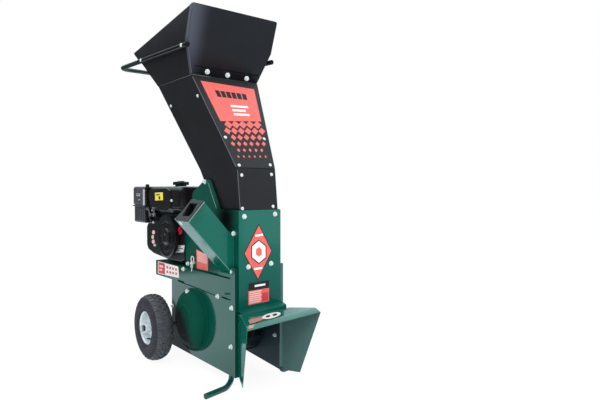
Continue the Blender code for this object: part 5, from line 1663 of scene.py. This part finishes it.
def label_set(node, rows):
    """Prints on one node: name, shapes, finish and how many print heights above its face."""
    for name, shapes, key, level in rows:
        prints(name, node, shapes, key, lift=ABOVE * level)


def chute_labels():
    dark = [(0.2 + 0.105 * i, 0.2, 0.285 + 0.105 * i, 0.37) for i in range(6)]
    light = lines(0.56, 0.9, 3, 0.5, 0.4, (0.78, 0.7, 0.76))
    label_set("chute_front_upper", [
        ("chute_label", [CHUTE_LABEL], "salmon", 0),
        ("chute_label_fade", fading_diamonds(), "salmon", 0),
        ("chute_label_blocks", blocks(CHUTE_LABEL, dark), "black", 1),
        ("chute_label_bars", blocks(CHUTE_LABEL, light), "white", 1),
    ])


def front_labels():
    prints("front_diamond_edge", "front_plate", [DIAMOND], "black", lift=-0.0001)
    bars = [[(l, t + 0.7), (r, t - 0.7), (r, b - 0.7), (l, b + 0.7)] for l, t, r, b in DIAMOND_BARS]
    text = lines(0.07, 0.97, 6, 0.66, 0.05, (0.64, 0.6))
    label_set("front_plate", [
        ("front_diamond", [DIAMOND_BODY], "salmon", 1),
        ("front_diamond_ring", [hexagon(DIAMOND_MIDDLE, 8.7, 12.2)], "black", 2),
        ("front_diamond_disc", [hexagon(DIAMOND_MIDDLE, 7.7, 11.0)], "white", 3),
        ("front_diamond_core", [hexagon(DIAMOND_MIDDLE, 3.3, 4.9)], "salmon", 4),
        ("front_diamond_bars", bars, "white", 2),
        ("front_band", [FRONT_BAND], "black", 0),
        ("front_band_bar", blocks(FRONT_BAND, [(0.3, 0.35, 0.82, 0.62)]), "white", 1),
        ("front_label", [FRONT_LABEL], "salmon", 0),
        ("front_label_bars", blocks(FRONT_LABEL, text), "pink", 1),
        ("front_label_block", blocks(FRONT_LABEL, [(0.66, 0.3, 0.95, 0.9)]), "crimson", 1),
    ])


def rear_labels():
    """Labels of the housing, the deck, the tank and the engine's shroud."""
    text = lines(0.04, 0.62, 6, 0.62, 0.06, (0.94, 0.88))
    label_set("upper_housing", [
        ("side_label", [SIDE_LABEL], "salmon", 0),
        ("side_label_bars", blocks(SIDE_LABEL, text), "pink", 1),
    ])
    corners = [(0.42 + 0.14 * i, 0.2 + 0.38 * j) for i in range(4) for j in range(2)]
    dots = [(left, top, left + 0.08, top + 0.2) for left, top in corners]
    bars = [(0.08, 0.25, 0.26, 0.45), (0.08, 0.58, 0.22, 0.72)]
    label_set("engine_deck", [
        ("deck_label", [DECK_LABEL], "white", 0),
        ("deck_label_block", blocks(DECK_LABEL, [(0.03, 0.05, 0.34, 0.95)]), "crimson", 1),
        ("deck_label_dots", blocks(DECK_LABEL, dots), "crimson", 1),
        ("deck_label_bars", blocks(DECK_LABEL, bars), "pink", 2),
    ])
    bars = blocks(TANK_LABEL, [(0.15, 0.2, 0.62, 0.34), (0.45, 0.48, 0.66, 0.88)])
    prints("tank_label", "fuel_tank", [TANK_LABEL], "yellow", lift=0.0042)
    prints("tank_label_bars", "fuel_tank", bars, "black", lift=0.0045)
    plane = face_plane("fan_shroud", SILVER_LABEL)
    bars = blocks(SILVER_LABEL, lines(0.12, 0.95, 3, 0.5, 0.12, (0.55, 0.85)))
    prints("shroud_label", "fan_shroud", [SILVER_LABEL], "silver", lift=0.0012)
    prints("shroud_label_bars", "fan_shroud", bars, "grey_plastic", lift=0.0015, plane=plane)


# Studio

AMBIENT = 0.86
FLOOR_GLOW = 0.86
FLOOR_WHITE = 1.06
FLOOR_HALF = 12.0
MIRROR_REAR = 1.25
MIRROR_FRONT = 0.6
MIRROR_NEAR = 0.9
MIRROR_TINT = (0.8, 0.98, 1.04)
WHITE = (1.0, 1.0, 1.0)


def surround(tree):
    """Brightness that shiny faces mirror: a soft box above and to the rear, and darker walls."""
    x, y, z = coordinates(tree, "Generated")[1]
    above = combine(tree, "MULTIPLY", ramp(tree, z, 0.25, 0.8), ramp(tree, y, -0.4, 0.1, 0.3, 2.3))
    right = ramp(tree, x, 0.05, 0.35)
    front_wall = combine(tree, "MULTIPLY", right, ramp(tree, y, 0.1, -0.3, 0.0, 0.8))
    rear_wall = combine(tree, "MULTIPLY", right, ramp(tree, y, -0.1, 0.3, 0.0, 0.75))
    return combine(tree, "ADD", above, front_wall, rear_wall, 0.12)


def floor_mirror(tree):
    """Brightness of the floor in shiny faces: lit round the machine's rear, dim in front and far away."""
    place, (_, y, _) = coordinates(tree)
    away = vector_math(tree, "DISTANCE", place, (0.0, 0.0, 0.0))
    far_rear = ramp(tree, away, 2.05, 2.45, MIRROR_REAR, 0.12)
    far_front = ramp(tree, away, 1.2, 4.0, MIRROR_NEAR, MIRROR_FRONT)
    rear = combine(tree, "MULTIPLY", ramp(tree, y, -0.25, 0.25), far_rear)
    front = combine(tree, "MULTIPLY", ramp(tree, y, 0.25, -0.25), far_front)
    return combine(tree, "ADD", rear, front)


def mix_shaders(tree, share, first, second):
    node = tree.nodes.new("ShaderNodeMixShader")
    for socket, source in zip(node.inputs, (share, first, second)):
        tree.links.new(source, socket)
    return node.outputs[0]


def studio():
    """White surround, with its own soft box and walls for what shiny faces mirror."""
    scene = bpy.context.scene
    scene.view_settings.view_transform = "Standard"
    world = bpy.data.worlds.new("studio")
    scene.world = world
    world.use_nodes = True
    tree = world.node_tree
    tree.nodes.clear()
    rays = tree.nodes.new("ShaderNodeLightPath").outputs
    shades = []
    for tone, strength in ((WHITE, AMBIENT), (MIRROR_TINT, surround(tree)), (WHITE, 1.0)):
        shades.append(add_node(tree, "Background", {"Color": (*tone, 1.0), "Strength": strength}).outputs[0])
    seen = combine(tree, "MAXIMUM", rays["Is Camera Ray"], rays["Is Transmission Ray"])
    lit = mix_shaders(tree, rays["Is Glossy Ray"], shades[0], shades[1])
    add_node(tree, "OutputWorld", {"Surface": mix_shaders(tree, seen, lit, shades[2])})


def floor():
    """Pale floor that keeps a soft shadow."""
    mat, tree, shader = shader_tree("pale_floor")
    shader.inputs["Base Color"].default_value = (0.95, 0.95, 0.95, 1.0)
    shader.inputs["Roughness"].default_value = 0.9
    shader.inputs["Specular IOR Level"].default_value = 0.0
    rays = tree.nodes.new("ShaderNodeLightPath").outputs
    camera_ray, mirror_ray = rays["Is Camera Ray"], rays["Is Glossy Ray"]
    mirrored = combine(tree, "MULTIPLY", mirror_ray, floor_mirror(tree))
    strength = combine(tree, "ADD", combine(tree, "MULTIPLY", camera_ray, FLOOR_WHITE), mirrored)
    tone = two_tones(tree, mirror_ray, WHITE, MIRROR_TINT)
    glow = add_node(tree, "Emission", {"Color": tone, "Strength": strength})
    share = combine(tree, "MAXIMUM", combine(tree, "MULTIPLY", camera_ray, FLOOR_GLOW), mirror_ray)
    mixed = mix_shaders(tree, share, shader.outputs[0], glow.outputs[0])
    tree.links.new(mixed, tree.nodes["Material Output"].inputs["Surface"])
    mesh = bpy.data.meshes.new("floor")
    corners = [(x * FLOOR_HALF, y * FLOOR_HALF, 0) for x, y in ((-1, -1), (1, -1), (1, 1), (-1, 1))]
    mesh.from_pydata(corners, [], [(0, 1, 2, 3)])
    obj = bpy.data.objects.new("floor", mesh)
    obj.data.materials.append(mat)
    bpy.context.scene.collection.objects.link(obj)


LAMP_TARGET = Vector((0.0, 0.0, 0.6))
LAMP_SIZE = 1.8


def lamp(name, place, power):
    """Square lamp that shines at the machine's middle and isn't mirrored."""
    data = bpy.data.lights.new(name, "AREA")
    data.shape = "RECTANGLE"
    data.size = data.size_y = LAMP_SIZE
    data.energy = power
    obj = bpy.data.objects.new(name, data)
    bpy.context.scene.collection.objects.link(obj)
    obj.location = place
    obj.rotation_euler = (LAMP_TARGET - Vector(place)).to_track_quat("-Z", "Y").to_euler()
    obj.visible_glossy = False


camera()
studio()
floor()
lamp("key", (-1.6, -2.2, 2.8), 50.0)
lamp("fill", (2.2, -2.4, 1.8), 12.0)
dress_nodes()
for side, sign in (("left", -1), ("right", 1)):
    tyre(side, sign)
    rim(side, sign)
axle_ends()
tank()
cap()
air_cleaner()
recoil()
switch()
engine_trim()
belt_guard_trim()
muffler_trim()
front_plate()
outlet_liner()
clip()
ledge()
seam()
dome()
plates()
hopper_front()
hopper_sides()
feet()
mouth()
branch()
guard()
handle()
# Painted highlights along the panels' edges
highlight_beads("panel_edge_highlights", BLACK_HIGHLIGHTS, "edge_black", 0.0014, 0.0001)
highlight_beads("green_edge_highlights", GREEN_HIGHLIGHTS, "edge_green", 0.0011, 0.0004)
fasteners()
chute_labels()
front_labels()
rear_labels()
guard_label()
